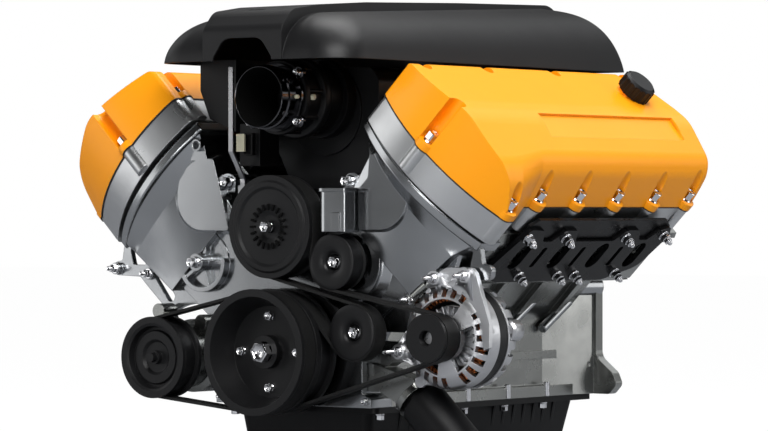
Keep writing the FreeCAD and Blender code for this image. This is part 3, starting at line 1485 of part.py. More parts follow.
def alternator_rear_housing():
    """Rear half of the alternator case with its slots and end cap."""
    outer = size("alternator_radius")
    profile = [(9.2, 186), (30, 186), (34, 182), (36, 168), (60, 166), (70, 160),
               (outer, 150), (outer, 136), (outer - 5, 136), (outer - 5, 152), (60, 160),
               (24, 162), (22, 178), (9.2, 178)]
    face = Part.Face(Part.makePolygon([Vector(r, s, 0) for r, s in profile + profile[:1]]))
    shape = face.revolve(Vector(), REARWARD, 360)
    slots = []
    for step in range(20):
        slot = box(62, 76, 148, 168, -3, 3)
        slot.rotate(Vector(), REARWARD, 18 * step)
        slots.append(slot)
    shape = shape.cut(Part.makeCompound(slots))
    cap = rod(9.3, Vector(0, 180, 0), Vector(0, 186, 0))
    shape = shape.fuse(cap)
    shape.translate(Vector(size("alternator_x"), 0, size("alternator_z")))
    casting("alternator_rear_housing", shape)


def alternator_bracket():
    """Arm from the side of the block out to the alternator's inner ear."""
    arm = front_prism([(128.2, 18, 4), (190, 16, 8), (207, 10, 10), (204, -10, 10),
                       (165, -14, 8), (128.2, -34, 4)], 112.2, 138)
    case = rod(size("alternator_radius") + 2,
               Vector(size("alternator_x"), 100, size("alternator_z")),
               Vector(size("alternator_x"), 150, size("alternator_z")))
    return arm.cut(case)


def accessory_brackets():
    """Cast brackets of the alternator, the compressor and the oil filter."""
    link = rod(7.5, Vector(219, 86, 77), Vector(248, 86, 98))
    link = link.fuse(rod(9, Vector(219, 82, 77), Vector(219, 98.8, 77)))
    pieces = [alternator_bracket(), compressor_bracket(), filter_adapter(), link]
    casting("accessory_brackets", Part.makeCompound(pieces))


def compressor_pulley():
    """Clutch pulley of the air-conditioning compressor, with stepped rings."""
    body = revolved("compressor_pulley", [
        ("0", "-5"), ("7", "-5"), ("7", "4"), ("10", "4"), ("10", "12"), ("22", "12"), ("26", "8"), ("38", "8"),
        ("40", "12"), ("44", "12"), ("46", "2"), ("50", "0"), ("compressor_rim", "0"),
        ("compressor_rim", "7"), ("compressor_groove", "second_belt_front"),
        ("compressor_groove", "second_belt_rear"), ("compressor_rim", "35"),
        ("compressor_rim", "42"), ("30", "42"), ("30", "36"), ("12", "36"), ("12", "60"),
        ("0", "60")])
    place(body, x="compressor_x", z="compressor_z")
    keep(body, "compressor_pulley")


def compressor_body():
    """Compressor body: ribbed barrel, rear head with ports, and mounting lugs."""
    x = size("compressor_x")
    z = size("compressor_z")
    centre = Vector(x, 0, z)
    barrel = rod(46, centre + REARWARD * 47, centre + REARWARD * 84)
    pieces = [taper(46, 54, centre + REARWARD * 84, centre + REARWARD * 92),
              rod(54, centre + REARWARD * 92, centre + REARWARD * 150),
              rod(50, centre + REARWARD * 150, centre + REARWARD * 176),
              rod(52, centre + REARWARD * 178, centre + REARWARD * 186),
              rod(46, centre + REARWARD * 176, centre + REARWARD * 178),
              rod(13, centre + Vector(0, 160, 20), centre + Vector(0, 160, 64)),
              rod(10, centre + Vector(28, 162, 20), centre + Vector(28, 162, 60))]
    for across, up in ((-39.7, 66), (42, 51), (-34, -50)):
        lug = rod(11, centre + Vector(across, 60, up), centre + Vector(across, 90.8, up))
        web = box(-8, 8, 62, 89, 30, 68)
        web.rotate(Vector(), REARWARD, math.degrees(math.atan2(across, up)))
        pieces += [lug, web.translated(centre)]
    shape = barrel.fuse(pieces)
    shape = shape.cut(rod(12.04, centre + REARWARD * 40, centre + REARWARD * 62))
    casting("compressor_body", shape)


def compressor_bracket():
    """Cast bracket from the side of the crankcase out to the compressor's lugs."""
    x = size("compressor_x")
    z = size("compressor_z")
    bracket = front_prism([(-128.2, 2, 3), (-128.2, -60, 3), (-160, -60, 8), (-168, -38, 8),
                           (-150, 2, 6)], 141.2, 172)
    barrel = rod(54.3, Vector(x, 130, z), Vector(x, 150, z))
    head = rod(50.3, Vector(x, 150, z), Vector(x, 180, z))
    return bracket.cut(barrel).cut(head)


def water_pump_housing():
    """Pump volute behind the pump pulley, with its outlet neck and thermostat elbow."""
    z = size("pump_height")
    centre = Vector(0, 0, z)
    shape = rod(48, centre + REARWARD * 84, centre + REARWARD * 110)
    nose = taper(26, 44, centre + REARWARD * 64, centre + REARWARD * 84)
    flange = front_prism([(-52, 150, 14), (-52, 214, 20), (52, 226, 14), (92, 226, 8),
                          (92, 176, 8), (52, 150, 14)], 82, 90.8)
    case = plan_prism([(84, 40, 15), (137, 40, 3), (137, 90.8), (84, 90.8)], 173, 232)
    lid = plan_prism([(82, 37, 15), (138.6, 37, 3), (138.6, 90.8), (82, 90.8)], 230, 235)
    step = box(112, 128, 38, 42, 173, 200)
    shape = shape.fuse([nose, flange, case, lid, step])
    shape = shape.cut(rod(12.05, centre + REARWARD * 60, centre + REARWARD * 96))
    shape = shape.cut(rod(35, centre + REARWARD * 93, centre + REARWARD * 108))
    shape = shape.cut(rod(79, centre + REARWARD * 30, centre + REARWARD * 78))
    casting("water_pump_housing", shape)


def support_strip():
    """Flat steel strip that braces the throttle tube to the timing cover."""
    strip = side_prism([(84, 236), (87, 236), (87, 250), (60, 290), (60, 412), (57, 412),
                        (57, 289), (84, 249)], -92, -84)
    foot = side_prism([(84, 214), (90.8, 214), (90.8, 240), (84, 240)], -96, -64)
    casting("support_strip", strip.fuse(foot))


def sensor_module():
    """Black electronic module beside the throttle, with its connector socket."""
    box_shape = box(-96, -58, 88, 132, 268, 330)
    socket = box(-84, -66, 80, 88, 284, 316)
    hollow = box(-82, -68, 79, 86, 286, 314)
    casting("sensor_module", box_shape.fuse(socket).cut(hollow))


# ---------------------------------------------------------------- the whole engine

def drill(inner, *castings):
    """Cut the seats and holes that one node needs in the castings it meets."""
    by_label = {part.Label: part for part in parts}
    tool = by_label[inner].Shape
    for label in castings:
        part = by_label[label]
        seated = part.Shape.cut(tool)
        part.Placement = Placement()
        part.Shape = seated


def build():
    """Make every part of the engine."""
    cylinder_block()
    main_bearing_caps()
    rear_seal_carrier()
    crankshaft()
    for bank in (RIGHT_BANK, LEFT_BANK):
        for number, station in enumerate(bores(bank), start=1):
            piston(bank, number, station)
        cylinder_head(bank)
        cam_carrier(bank)
        valve_cover(bank)
        exhaust_flange(bank)
        camshaft("intake", bank, -size("cam_offset"))
        camshaft("exhaust", bank, size("cam_offset"))
    oil_pan()
    oil_pickup()
    oil_filter()
    timing_cover()
    front_bolts()
    timing_chains()
    drive_belts()
    valves()
    spark_plugs()
    gaskets()
    oil_filler_cap()
    valve_cover_bolts()
    intake_manifold()
    throttle_body()
    throttle_plate()
    intake_tube()
    fuel_rails()
    engine_cover()
    exhaust_nuts()
    crank_pulley()
    crank_pulley_bolts()
    water_pump_pulley()
    idler("upper_idler_pulley", "upper_idler_x", "upper_idler_z")
    idler("lower_idler_pulley", "lower_idler_x", "lower_idler_z")
    alternator_pulley()
    alternator_rotor()
    alternator_front_housing()
    alternator_stator()
    alternator_rear_housing()
    accessory_brackets()
    compressor_pulley()
    compressor_body()
    water_pump_housing()
    support_strip()
    sensor_module()
    drill("valve_cover_bolts", "cam_carrier_right", "cam_carrier_left", "gaskets",
          "valve_cover_right", "valve_cover_left")
    drill("front_bolts", "timing_cover", "cylinder_block", "oil_pan", "intake_tube",
          "throttle_body", "accessory_brackets", "alternator_front_housing", "support_strip")
    drill("exhaust_nuts", "exhaust_flange_right", "exhaust_flange_left")
    drill("spark_plugs", "cylinder_head_right", "cylinder_head_left")
    drill("valves", "cylinder_head_right", "cylinder_head_left")
    drill("fuel_rails", "intake_manifold")
    drill("water_pump_housing", "timing_cover")
    drill("alternator_front_housing", "timing_cover")
    drill("support_strip", "timing_cover")
    for casting_name in ("cylinder_block", "timing_cover", "alternator_front_housing"):
        drill(casting_name, "accessory_brackets")
    drill("main_bearing_caps", "cylinder_block")


build()
document.recompute()
for item in document.Objects:
    if "Invalid" in item.State or "Error" in item.State:
        raise RuntimeError(f"{item.Label} did not compute: {item.State}")
os.makedirs("parts", exist_ok=True)
for part in parts:
    if part.Shape.isNull() or not part.Shape.isValid():
        raise RuntimeError(f"{part.Label} is not a valid solid")
    part.Shape.exportStep(f"parts/{part.Label}.step")
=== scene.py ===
"""Looks of the V8 engine: finishes, fasteners, fine surface detail, studio and camera.

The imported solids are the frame. This script gives every node a procedural finish, adds the
small pieces and surface work that the solids leave out, and sets the light and the camera.
"""

import json
import logging
import math
from dataclasses import dataclass
from typing import Dict, List, Optional, Sequence, Tuple

import bmesh
import bpy
from mathutils import Matrix, Vector

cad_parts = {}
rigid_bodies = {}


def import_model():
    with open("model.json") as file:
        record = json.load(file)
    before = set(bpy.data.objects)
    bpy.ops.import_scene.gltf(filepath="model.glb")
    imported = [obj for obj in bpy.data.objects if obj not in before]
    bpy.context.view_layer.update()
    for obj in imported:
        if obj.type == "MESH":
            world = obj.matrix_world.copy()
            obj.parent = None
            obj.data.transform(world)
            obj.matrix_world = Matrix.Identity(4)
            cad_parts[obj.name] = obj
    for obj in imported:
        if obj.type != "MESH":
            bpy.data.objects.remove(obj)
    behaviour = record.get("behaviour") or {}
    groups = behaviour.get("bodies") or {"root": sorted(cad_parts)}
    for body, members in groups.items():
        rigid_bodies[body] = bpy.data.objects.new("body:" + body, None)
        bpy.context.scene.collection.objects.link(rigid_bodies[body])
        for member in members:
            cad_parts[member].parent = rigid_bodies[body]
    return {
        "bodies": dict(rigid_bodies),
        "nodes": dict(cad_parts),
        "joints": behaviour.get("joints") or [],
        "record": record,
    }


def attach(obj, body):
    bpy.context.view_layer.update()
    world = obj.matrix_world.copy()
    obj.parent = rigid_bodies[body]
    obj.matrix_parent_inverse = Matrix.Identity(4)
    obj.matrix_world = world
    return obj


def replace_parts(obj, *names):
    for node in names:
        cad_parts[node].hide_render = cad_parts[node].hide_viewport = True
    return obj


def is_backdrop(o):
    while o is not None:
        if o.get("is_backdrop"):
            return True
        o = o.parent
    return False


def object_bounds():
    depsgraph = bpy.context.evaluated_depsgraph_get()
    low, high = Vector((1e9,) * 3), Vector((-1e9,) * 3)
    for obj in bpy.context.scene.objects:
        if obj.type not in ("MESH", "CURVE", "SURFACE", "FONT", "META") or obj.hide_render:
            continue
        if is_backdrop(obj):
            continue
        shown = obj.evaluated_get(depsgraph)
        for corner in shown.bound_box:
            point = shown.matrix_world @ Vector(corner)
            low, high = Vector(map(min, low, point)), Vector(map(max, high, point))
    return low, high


LOG = logging.getLogger("engine_scene")
Colour = Tuple[float, float, float]
Point = Tuple[float, float, float]

MM = 0.001
HALF_ROOT = math.sqrt(0.5)
CRANK_TO_FLANGE = 604.0

# Stations in millimetres: x towards the right bank, s behind the crank pulley's front rim, z up
# from the crank axis; w outwards across a bank, h up its cylinder axis.
BANKS = (1, -1)
FIRST_BORE = {1: 226.0, -1: 206.0}
EXHAUST_STUDS = ((-30.0, 358.0), (65.0, 358.0), (220.0, 358.0), (317.0, 362.0),
                 (24.0, 281.0), (120.0, 281.0), (164.0, 281.0), (267.0, 284.0))
COVER_BOLTS = (*((99.0, 196.0 + 98.0 * step) for step in range(4)), (97.0, 584.0),
               (-15.0, 47.0), (118.0, 104.0), (-115.0, 84.0), (-113.0, 230.0),
               (-113.0, 400.0), (-113.0, 580.0))
FRONT_STUDS = ((-342.0, 92.0, 116.0, 11.0, 20.0), (-276.0, 92.0, 109.0, 11.0, 20.0),
               (262.0, 80.0, 108.0, 11.0, 24.0), (313.0, 82.0, 112.0, 11.0, 24.0),
               (194.0, 88.0, 3.0, 11.0, 34.0), (219.0, 82.0, 77.0, 11.0, 22.0))
FRONT_BOLTS = ((-134.0, 91.0, -70.0, 8.0, 8.0), (134.0, 91.0, -70.0, 8.0, 8.0),
               (-112.0, 84.0, 245.0, 13.0, 16.0), (112.0, 84.0, 245.0, 13.0, 16.0),
               (-60.0, 91.0, 210.0, 10.0, 8.0), (-162.0, 66.0, 127.0, 13.0, 14.0))
PAN_BOLTS = tuple(124.0 + 102.0 * step for step in range(5))
RAIL_SLEEVES = (226.0, 328.0, 430.0, 532.0)
IDLERS = (("upper", 107.7, 129.8), ("lower", 144.2, 30.1))
PUMP_AXIS_Z = 179.7
EXHAUST_FACE_W = 126.0
COVER_SEAT_H = 409.0
PAN_BOLT_SEAT = (134.0, -88.0)
CRANK_BOLT_CIRCLE = 52.0

FORWARD = Vector((0.0, -1.0, 0.0))
REARWARD = Vector((0.0, 1.0, 0.0))
DOWNWARD = Vector((0.0, 0.0, -1.0))


# ------------------------------------------------------------------ finishes

@dataclass(frozen=True)
class Finish:
    """What one kind of surface looks like.

    Attributes:
        name: Material name.
        base: Main colour, linear.
        shade: Darker or lighter colour that large patches drift to.
        metallic: 1 for bare metal, 0 for paint, rubber and plastic.
        roughness: Middle roughness.
        spread: How far roughness drifts either side of the middle.
        grain_scale: Size of the fine bumps, in bumps per metre.
        grain_depth: Strength of the fine bumps.
        patch_scale: Size of the colour patches, in patches per metre.
        coat: Weight of the clear coat.
        coat_roughness: Roughness of the clear coat.
        specular: Specular level of a non-metal.
        edge: Radius of the rounded look along edges, in metres.
    """

    name: str
    base: Colour
    shade: Colour
    metallic: float = 0.0
    roughness: float = 0.4
    spread: float = 0.05
    grain_scale: float = 900.0
    grain_depth: float = 0.05
    patch_scale: float = 9.0
    coat: float = 0.0
    coat_roughness: float = 0.1
    specular: float = 0.5
    edge: float = 0.0009


FINISHES: Dict[str, Finish] = {finish.name: finish for finish in (
    Finish("orange_paint", (1.0, 0.375, 0.004), (1.0, 0.335, 0.003), 0.0, 0.36, 0.03, 420.0,
           0.012, 6.0, 0.12, 0.16, 0.22, 0.0022),
    Finish("polished_casting", (0.42, 0.43, 0.44), (0.33, 0.34, 0.35), 1.0, 0.19, 0.04, 700.0,
           0.02, 14.0, edge=0.0018),
    Finish("bright_casting", (0.60, 0.61, 0.615), (0.48, 0.485, 0.49), 1.0, 0.31, 0.05, 1200.0,
           0.04, 16.0, edge=0.0018),
    Finish("satin_casting", (0.36, 0.365, 0.35), (0.27, 0.275, 0.265), 1.0, 0.25, 0.06, 1500.0,
           0.05, 18.0, edge=0.0012),
    Finish("chrome", (0.80, 0.80, 0.81), (0.72, 0.72, 0.74), 1.0, 0.09, 0.03, 300.0,
           0.005, 20.0, edge=0.0005),
    Finish("steel", (0.52, 0.52, 0.53), (0.40, 0.40, 0.41), 1.0, 0.30, 0.08, 1200.0,
           0.04, 25.0, edge=0.0006),
    Finish("iron", (0.16, 0.16, 0.17), (0.11, 0.11, 0.12), 1.0, 0.45, 0.08, 1400.0,
           0.12, 25.0, edge=0.0008),
    Finish("black_satin", (0.008, 0.008, 0.0085), (0.005, 0.005, 0.0055), 0.0, 0.42, 0.05, 900.0,
           0.03, 12.0, specular=0.22, edge=0.0012),
    Finish("black_iron", (0.003, 0.003, 0.0034), (0.004, 0.004, 0.0045), 0.0, 0.26, 0.05, 1300.0,
           0.05, 20.0, specular=0.10, edge=0.0010),
    Finish("pan_paint", (0.004, 0.004, 0.0045), (0.003, 0.003, 0.0035), 0.0, 0.42, 0.05, 900.0,
           0.05, 10.0, specular=0.18, edge=0.0012),
    Finish("cover_plastic", (0.008, 0.008, 0.0085), (0.006, 0.006, 0.0065), 0.0, 0.46, 0.04,
           2600.0, 0.06, 6.0, specular=0.28, edge=0.0020),
    Finish("plenum_plastic", (0.004, 0.004, 0.0045), (0.003, 0.003, 0.0035), 0.0, 0.42, 0.05,
           1600.0, 0.06, 9.0, specular=0.22, edge=0.0016),
    Finish("rubber", (0.010, 0.010, 0.010), (0.006, 0.006, 0.006), 0.0, 0.60, 0.06, 1500.0,
           0.06, 25.0, specular=0.22, edge=0.0004),
    Finish("copper", (0.50, 0.17, 0.06), (0.30, 0.09, 0.03), 1.0, 0.32, 0.10, 1600.0,
           0.30, 60.0, edge=0.0003),
    Finish("laminate", (0.010, 0.010, 0.011), (0.006, 0.006, 0.0065), 0.0, 0.42, 0.08, 1800.0,
           0.10, 30.0, specular=0.25, edge=0.0005),
    Finish("cream", (0.72, 0.69, 0.52), (0.60, 0.57, 0.40), 0.0, 0.35, 0.05, 700.0,
           0.03, 15.0, specular=0.5, edge=0.0008),
    Finish("dark_chrome", (0.10, 0.10, 0.105), (0.06, 0.06, 0.065), 1.0, 0.10, 0.03, 300.0,
           0.005, 12.0, edge=0.0005),
    # painted shade: flat matte black that stands in for the shade inside holes, throats and
    # slots
    Finish("painted_shade_black", (0.002, 0.002, 0.002), (0.001, 0.001, 0.001), 0.0, 0.8, 0.05, 300.0,
           0.02, 12.0, specular=0.1, edge=0.0005),
    Finish("alternator_casting", (0.62, 0.625, 0.64), (0.50, 0.505, 0.52), 1.0, 0.36, 0.06,
           1500.0, 0.06, 22.0, edge=0.0008),
    Finish("gasket", (0.010, 0.010, 0.010), (0.016, 0.016, 0.016), 0.0, 0.55, 0.05, 1500.0,
           0.04, 20.0, specular=0.3, edge=0.0003),
)}

NODE_FINISH: Dict[str, str] = {
    "cylinder_block": "satin_casting", "main_bearing_caps": "iron",
    "rear_seal_carrier": "satin_casting", "crankshaft": "steel",
    "cylinder_head_right": "satin_casting", "cylinder_head_left": "satin_casting",
    "cam_carrier_right": "bright_casting", "cam_carrier_left": "bright_casting",
    "valve_cover_right": "orange_paint", "valve_cover_left": "orange_paint",
    "exhaust_flange_right": "black_iron", "exhaust_flange_left": "black_iron",
    "oil_pan": "pan_paint", "oil_pickup": "steel", "oil_filter": "pan_paint",
    "timing_cover": "polished_casting", "front_bolts": "chrome", "timing_chains": "steel",
    "drive_belt_main": "rubber", "drive_belt_compressor": "rubber", "gaskets": "gasket",
    "valves": "steel", "spark_plugs": "steel", "oil_filler_cap": "black_satin",
    "valve_cover_bolts": "chrome", "intake_manifold": "plenum_plastic",
    # painted shade: the throttle plate takes the matte black of a shaded throat
    "throttle_body": "plenum_plastic", "throttle_plate": "painted_shade_black", "intake_tube": "chrome",
    "fuel_rails": "steel", "engine_cover": "cover_plastic", "exhaust_nuts": "chrome",
    "crank_pulley": "black_satin", "crank_pulley_bolts": "chrome",
    "water_pump_pulley": "black_satin", "upper_idler_pulley": "black_satin",
    "lower_idler_pulley": "black_satin", "alternator_pulley": "black_satin",
    "alternator_rotor": "steel", "alternator_front_housing": "satin_casting",
    "alternator_stator": "laminate", "alternator_rear_housing": "satin_casting",
    "accessory_brackets": "satin_casting", "compressor_pulley": "black_satin",
    "compressor_body": "satin_casting", "water_pump_housing": "polished_casting",
    "support_strip": "steel", "sensor_module": "plenum_plastic",
}


KIND_FINISH: Dict[str, str] = {"piston": "satin_casting", "camshaft": "steel"}


class FinishMaker:
    """Builds each finish once, as a procedural material."""

    def __init__(self) -> None:
        self._made: Dict[str, bpy.types.Material] = {}

    def get(self, name: str) -> bpy.types.Material:
        """Return the material of a finish.

        Args:
            name: A key of FINISHES.

        Returns:
            The material, built on first use.
        """
        if name not in self._made:
            self._made[name] = self._build(FINISHES[name])
        return self._made[name]

    def _build(self, finish: Finish) -> bpy.types.Material:
        """Build one material from patches, grain and a rounded edge."""
        material = bpy.data.materials.new(finish.name)
        material.use_nodes = True
        nodes = material.node_tree.nodes
        links = material.node_tree.links
        shader = nodes["Principled BSDF"]
        place = nodes.new("ShaderNodeTexCoord")
        patches = self._noise(nodes, finish.patch_scale, 4.0)
        grain = self._noise(nodes, finish.grain_scale, 2.0)
        links.new(place.outputs["Object"], patches.inputs["Vector"])
        links.new(place.outputs["Object"], grain.inputs["Vector"])
        colour = nodes.new("ShaderNodeMix")
        colour.data_type = "RGBA"
        colour.inputs["A"].default_value = (*finish.base, 1.0)
        colour.inputs["B"].default_value = (*finish.shade, 1.0)
        links.new(patches.outputs["Fac"], colour.inputs["Factor"])
        links.new(colour.outputs["Result"], shader.inputs["Base Color"])
        rough = nodes.new("ShaderNodeMapRange")
        rough.inputs["From Min"].default_value = 0.3
        rough.inputs["From Max"].default_value = 0.7
        rough.inputs["To Min"].default_value = max(0.02, finish.roughness - finish.spread)
        rough.inputs["To Max"].default_value = finish.roughness + finish.spread
        links.new(patches.outputs["Fac"], rough.inputs["Value"])
        links.new(rough.outputs["Result"], shader.inputs["Roughness"])
        edge = nodes.new("ShaderNodeBevel")
        edge.samples = 4
        edge.inputs["Radius"].default_value = finish.edge
        bump = nodes.new("ShaderNodeBump")
        bump.inputs["Strength"].default_value = finish.grain_depth
        bump.inputs["Distance"].default_value = 0.0006
        links.new(grain.outputs["Fac"], bump.inputs["Height"])
        links.new(edge.outputs["Normal"], bump.inputs["Normal"])
        links.new(bump.outputs["Normal"], shader.inputs["Normal"])
        shader.inputs["Metallic"].default_value = finish.metallic
        shader.inputs["Coat Weight"].default_value = finish.coat
        shader.inputs["Coat Roughness"].default_value = finish.coat_roughness
        shader.inputs["Specular IOR Level"].default_value = finish.specular
        return material

    @staticmethod
    def _noise(nodes: bpy.types.Nodes, scale: float, detail: float) -> bpy.types.Node:
        """Add one noise texture of a given scale."""
        noise = nodes.new("ShaderNodeTexNoise")
        noise.inputs["Scale"].default_value = scale
        noise.inputs["Detail"].default_value = detail
        return noise


# ------------------------------------------------------------------ building pieces

def station(x: float, s: float, z: float) -> Vector:
    """Turn an engine station in millimetres into the frame's metres.

    Args:
        x: Distance towards the right bank.
        s: Distance behind the front rim of the crank pulley.
        z: Height above the crank axis.

    Returns:
        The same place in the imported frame.
    """
    return Vector((x, s - CRANK_TO_FLANGE, z)) * MM


def bank_station(bank: int, w: float, s: float, h: float) -> Vector:
    """Turn a place in a bank's own directions into the frame's metres.

    Args:
        bank: 1 for the right bank, -1 for the left.
        w: Distance outwards across the bank.
        s: Distance behind the front rim of the crank pulley.
        h: Height up the cylinder axis.

    Returns:
        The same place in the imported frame.
    """
    return station(bank * (w + h) * HALF_ROOT, s, (h - w) * HALF_ROOT)


def bank_outward(bank: int) -> Vector:
    """Direction outwards across a bank."""
    return Vector((bank * HALF_ROOT, 0.0, -HALF_ROOT))


def bank_up(bank: int) -> Vector:
    """Direction up a bank's cylinder axis."""
    return Vector((bank * HALF_ROOT, 0.0, HALF_ROOT))


class Piece:
    """One piece under construction, made of turned and extruded forms."""

    def __init__(self, name: str) -> None:
        self.name = name
        self._mesh = bmesh.new()

    def turned(self, profile: Sequence[Tuple[float, float]], start: Vector, along: Vector,
               segments: int = 36, closed: bool = False, turn: float = 0.0) -> "Piece":
        """Turn an outline about an axis.

        Args:
            profile: Points as (radius, distance along), in millimetres.
            start: Point on the axis where the distance is zero.
            along: Direction of the axis.
            segments: Number of sides.
            closed: Whether the outline ends where it began, as for a ring.
            turn: Angle of the first side, in degrees.

        Returns:
            This piece.
        """
        axis = along.normalized()
        across = axis.orthogonal().normalized()
        other = axis.cross(across)
        rings: List[List[bmesh.types.BMVert]] = []
        for radius, distance in profile:
            middle = start + axis * (distance * MM)
            if radius < 1e-6:
                rings.append([self._mesh.verts.new(middle)])
                continue
            ring = []
            for step in range(segments):
                angle = 2 * math.pi * step / segments + math.radians(turn)
                out = across * math.cos(angle) + other * math.sin(angle)
                ring.append(self._mesh.verts.new(middle + out * (radius * MM)))
            rings.append(ring)
        pairs = list(zip(rings, rings[1:]))
        if closed:
            pairs.append((rings[-1], rings[0]))
        for lower, upper in pairs:
            self._join(lower, upper, segments)
        return self

    def _join(self, lower: List[bmesh.types.BMVert], upper: List[bmesh.types.BMVert],
              segments: int) -> None:
        """Fill the band between two rings, either of which may be a single point."""
        for step in range(segments):
            after = (step + 1) % segments
            if len(lower) == 1 and len(upper) == 1:
                return
            if len(lower) == 1:
                self._mesh.faces.new((lower[0], upper[step], upper[after]))
            elif len(upper) == 1:
                self._mesh.faces.new((lower[step], lower[after], upper[0]))
            else:
                self._mesh.faces.new((lower[step], lower[after], upper[after], upper[step]))

    def rod(self, radius: float, start: Vector, end: Vector, segments: int = 28) -> "Piece":
        """Add a round bar with softened rims.

        Args:
            radius: Radius in millimetres.
            start: Centre of one end.
            end: Centre of the other end.
            segments: Number of sides.

        Returns:
            This piece.
        """
        length = (end - start).length / MM
        soft = min(radius * 0.18, length * 0.2, 1.2)
        return self.turned([(0, 0), (radius - soft, 0), (radius, soft),
                            (radius, length - soft), (radius - soft, length), (0, length)],
                           start, end - start, segments)

    def hexagon(self, across: float, start: Vector, along: Vector, height: float,
                turn: float = 0.0) -> "Piece":
        """Add a chamfered hexagon.

        Args:
            across: Distance across its flats, in millimetres.
            start: Centre of its foot.
            along: Direction of its axis.
            height: Height in millimetres.
            turn: Angle about its axis, in degrees.

        Returns:
            This piece.
        """
        corner = across / math.sqrt(3)
        chamfer = across * 0.07
        return self.turned([(0, 0), (corner - chamfer, 0), (corner, chamfer * 0.7),
                            (corner, height - chamfer * 0.7), (corner - chamfer, height),
                            (across * 0.41, height), (across * 0.30, height - across * 0.10),
                            (across * 0.12, height - across * 0.13),
                            (0, height - across * 0.06)], start, along, 6, turn=turn)

    def extruded(self, outline: Sequence[Vector], depth: Vector) -> "Piece":
        """Extrude a flat outline.

        Args:
            outline: Corner points in order.
            depth: Vector from the outline to its far copy.

        Returns:
            This piece.
        """
        near = [self._mesh.verts.new(point) for point in outline]
        far = [self._mesh.verts.new(point + depth) for point in outline]
        self._mesh.faces.new(near)
        self._mesh.faces.new(list(reversed(far)))
        for index in range(len(near)):
            after = (index + 1) % len(near)
            self._mesh.faces.new((near[index], near[after], far[after], far[index]))
        return self

    def block(self, low: Vector, high: Vector) -> "Piece":
        """Add a box between two opposite corners.

        Args:
            low: Corner with the smallest coordinates.
            high: Corner with the largest coordinates.

        Returns:
            This piece.
        """
        floor = [Vector((low.x, low.y, low.z)), Vector((high.x, low.y, low.z)),
                 Vector((high.x, high.y, low.z)), Vector((low.x, high.y, low.z))]
        return self.extruded(floor, Vector((0.0, 0.0, high.z - low.z)))

    def done(self, finish: bpy.types.Material, body: str = "engine") -> bpy.types.Object:
        """Turn the collected forms into an object that rides on a body.

        Args:
            finish: Its material.
            body: The body that it moves with.

        Returns:
            The finished object.
        """
        bmesh.ops.recalc_face_normals(self._mesh, faces=self._mesh.faces)
        mesh = bpy.data.meshes.new(self.name)
        self._mesh.to_mesh(mesh)
        self._mesh.free()
        mesh.materials.append(finish)
        mesh.shade_smooth()
        mesh.set_sharp_from_angle(angle=math.radians(38.0))
        piece = bpy.data.objects.new(self.name, mesh)
        bpy.context.collection.objects.link(piece)
        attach(piece, body)
        return piece


def thread_profile(radius: float, start: float, end: float, pitch: float
                   ) -> List[Tuple[float, float]]:
    """Outline of a threaded stretch, crest by crest.

    Args:
        radius: Outer radius in millimetres.
        start: Where the thread begins along the axis.
        end: Where it ends.
        pitch: Distance between crests.

    Returns:
        Points as (radius, distance along).
    """
    points = []
    for step in range(int((end - start) / pitch)):
        base = start + step * pitch
        points += [(radius - pitch * 0.45, base), (radius, base + pitch * 0.5)]
    points.append((radius - pitch * 0.45, end))
    return points


# ------------------------------------------------------------------ fasteners

def add_nut_on_stud(piece: Piece, seat: Vector, along: Vector, across: float,
                    reach: float) -> None:
    """Add a washer, a nut, a lock nut and the threaded end of their stud.

    Args:
        piece: Piece that takes the forms.
        seat: Where the washer stands.
        along: Direction from the seat to the stud's end.
        across: Distance across the nut's flats, in millimetres.
        reach: Distance from the seat to the stud's end, in millimetres.
    """
    step = along.normalized() * MM
    washer = 1.8
    nut = across * 0.62
    lock_nut = across * 0.34
    thread_radius = across * 0.30
    piece.rod(across * 0.68, seat, seat + step * washer)
    piece.hexagon(across, seat + step * washer, along, nut, turn=10)
    lock_foot = washer + nut + 0.6
    piece.hexagon(across * 0.86, seat + step * lock_foot, along, lock_nut, turn=32)
    tail = lock_foot + lock_nut
    thread = thread_profile(thread_radius, tail - 1, reach - 1.5, 1.5)
    piece.turned([(0, tail - 1)] + thread + [(thread_radius * 0.6, reach), (0, reach)], seat,
                 along, 20)


def add_flange_bolt(piece: Piece, seat: Vector, along: Vector, across: float,
                    height: float) -> None:
    """Add a bolt head with a wide flange.

    Args:
        piece: Piece that takes the forms.
        seat: Where the flange stands.
        along: Direction from the seat to the head's top.
        across: Distance across the flats, in millimetres.
        height: Height of the head with its flange, in millimetres.
    """
    step = along.normalized() * MM
    flange_radius = across * 0.66
    foot = 2.4
    piece.turned([(0, 0), (flange_radius, 0), (flange_radius, 1.2), (across * 0.54, 3), (0, 3)],
                 seat, along, 28)
    piece.hexagon(across, seat + step * foot, along, height - foot, turn=15)


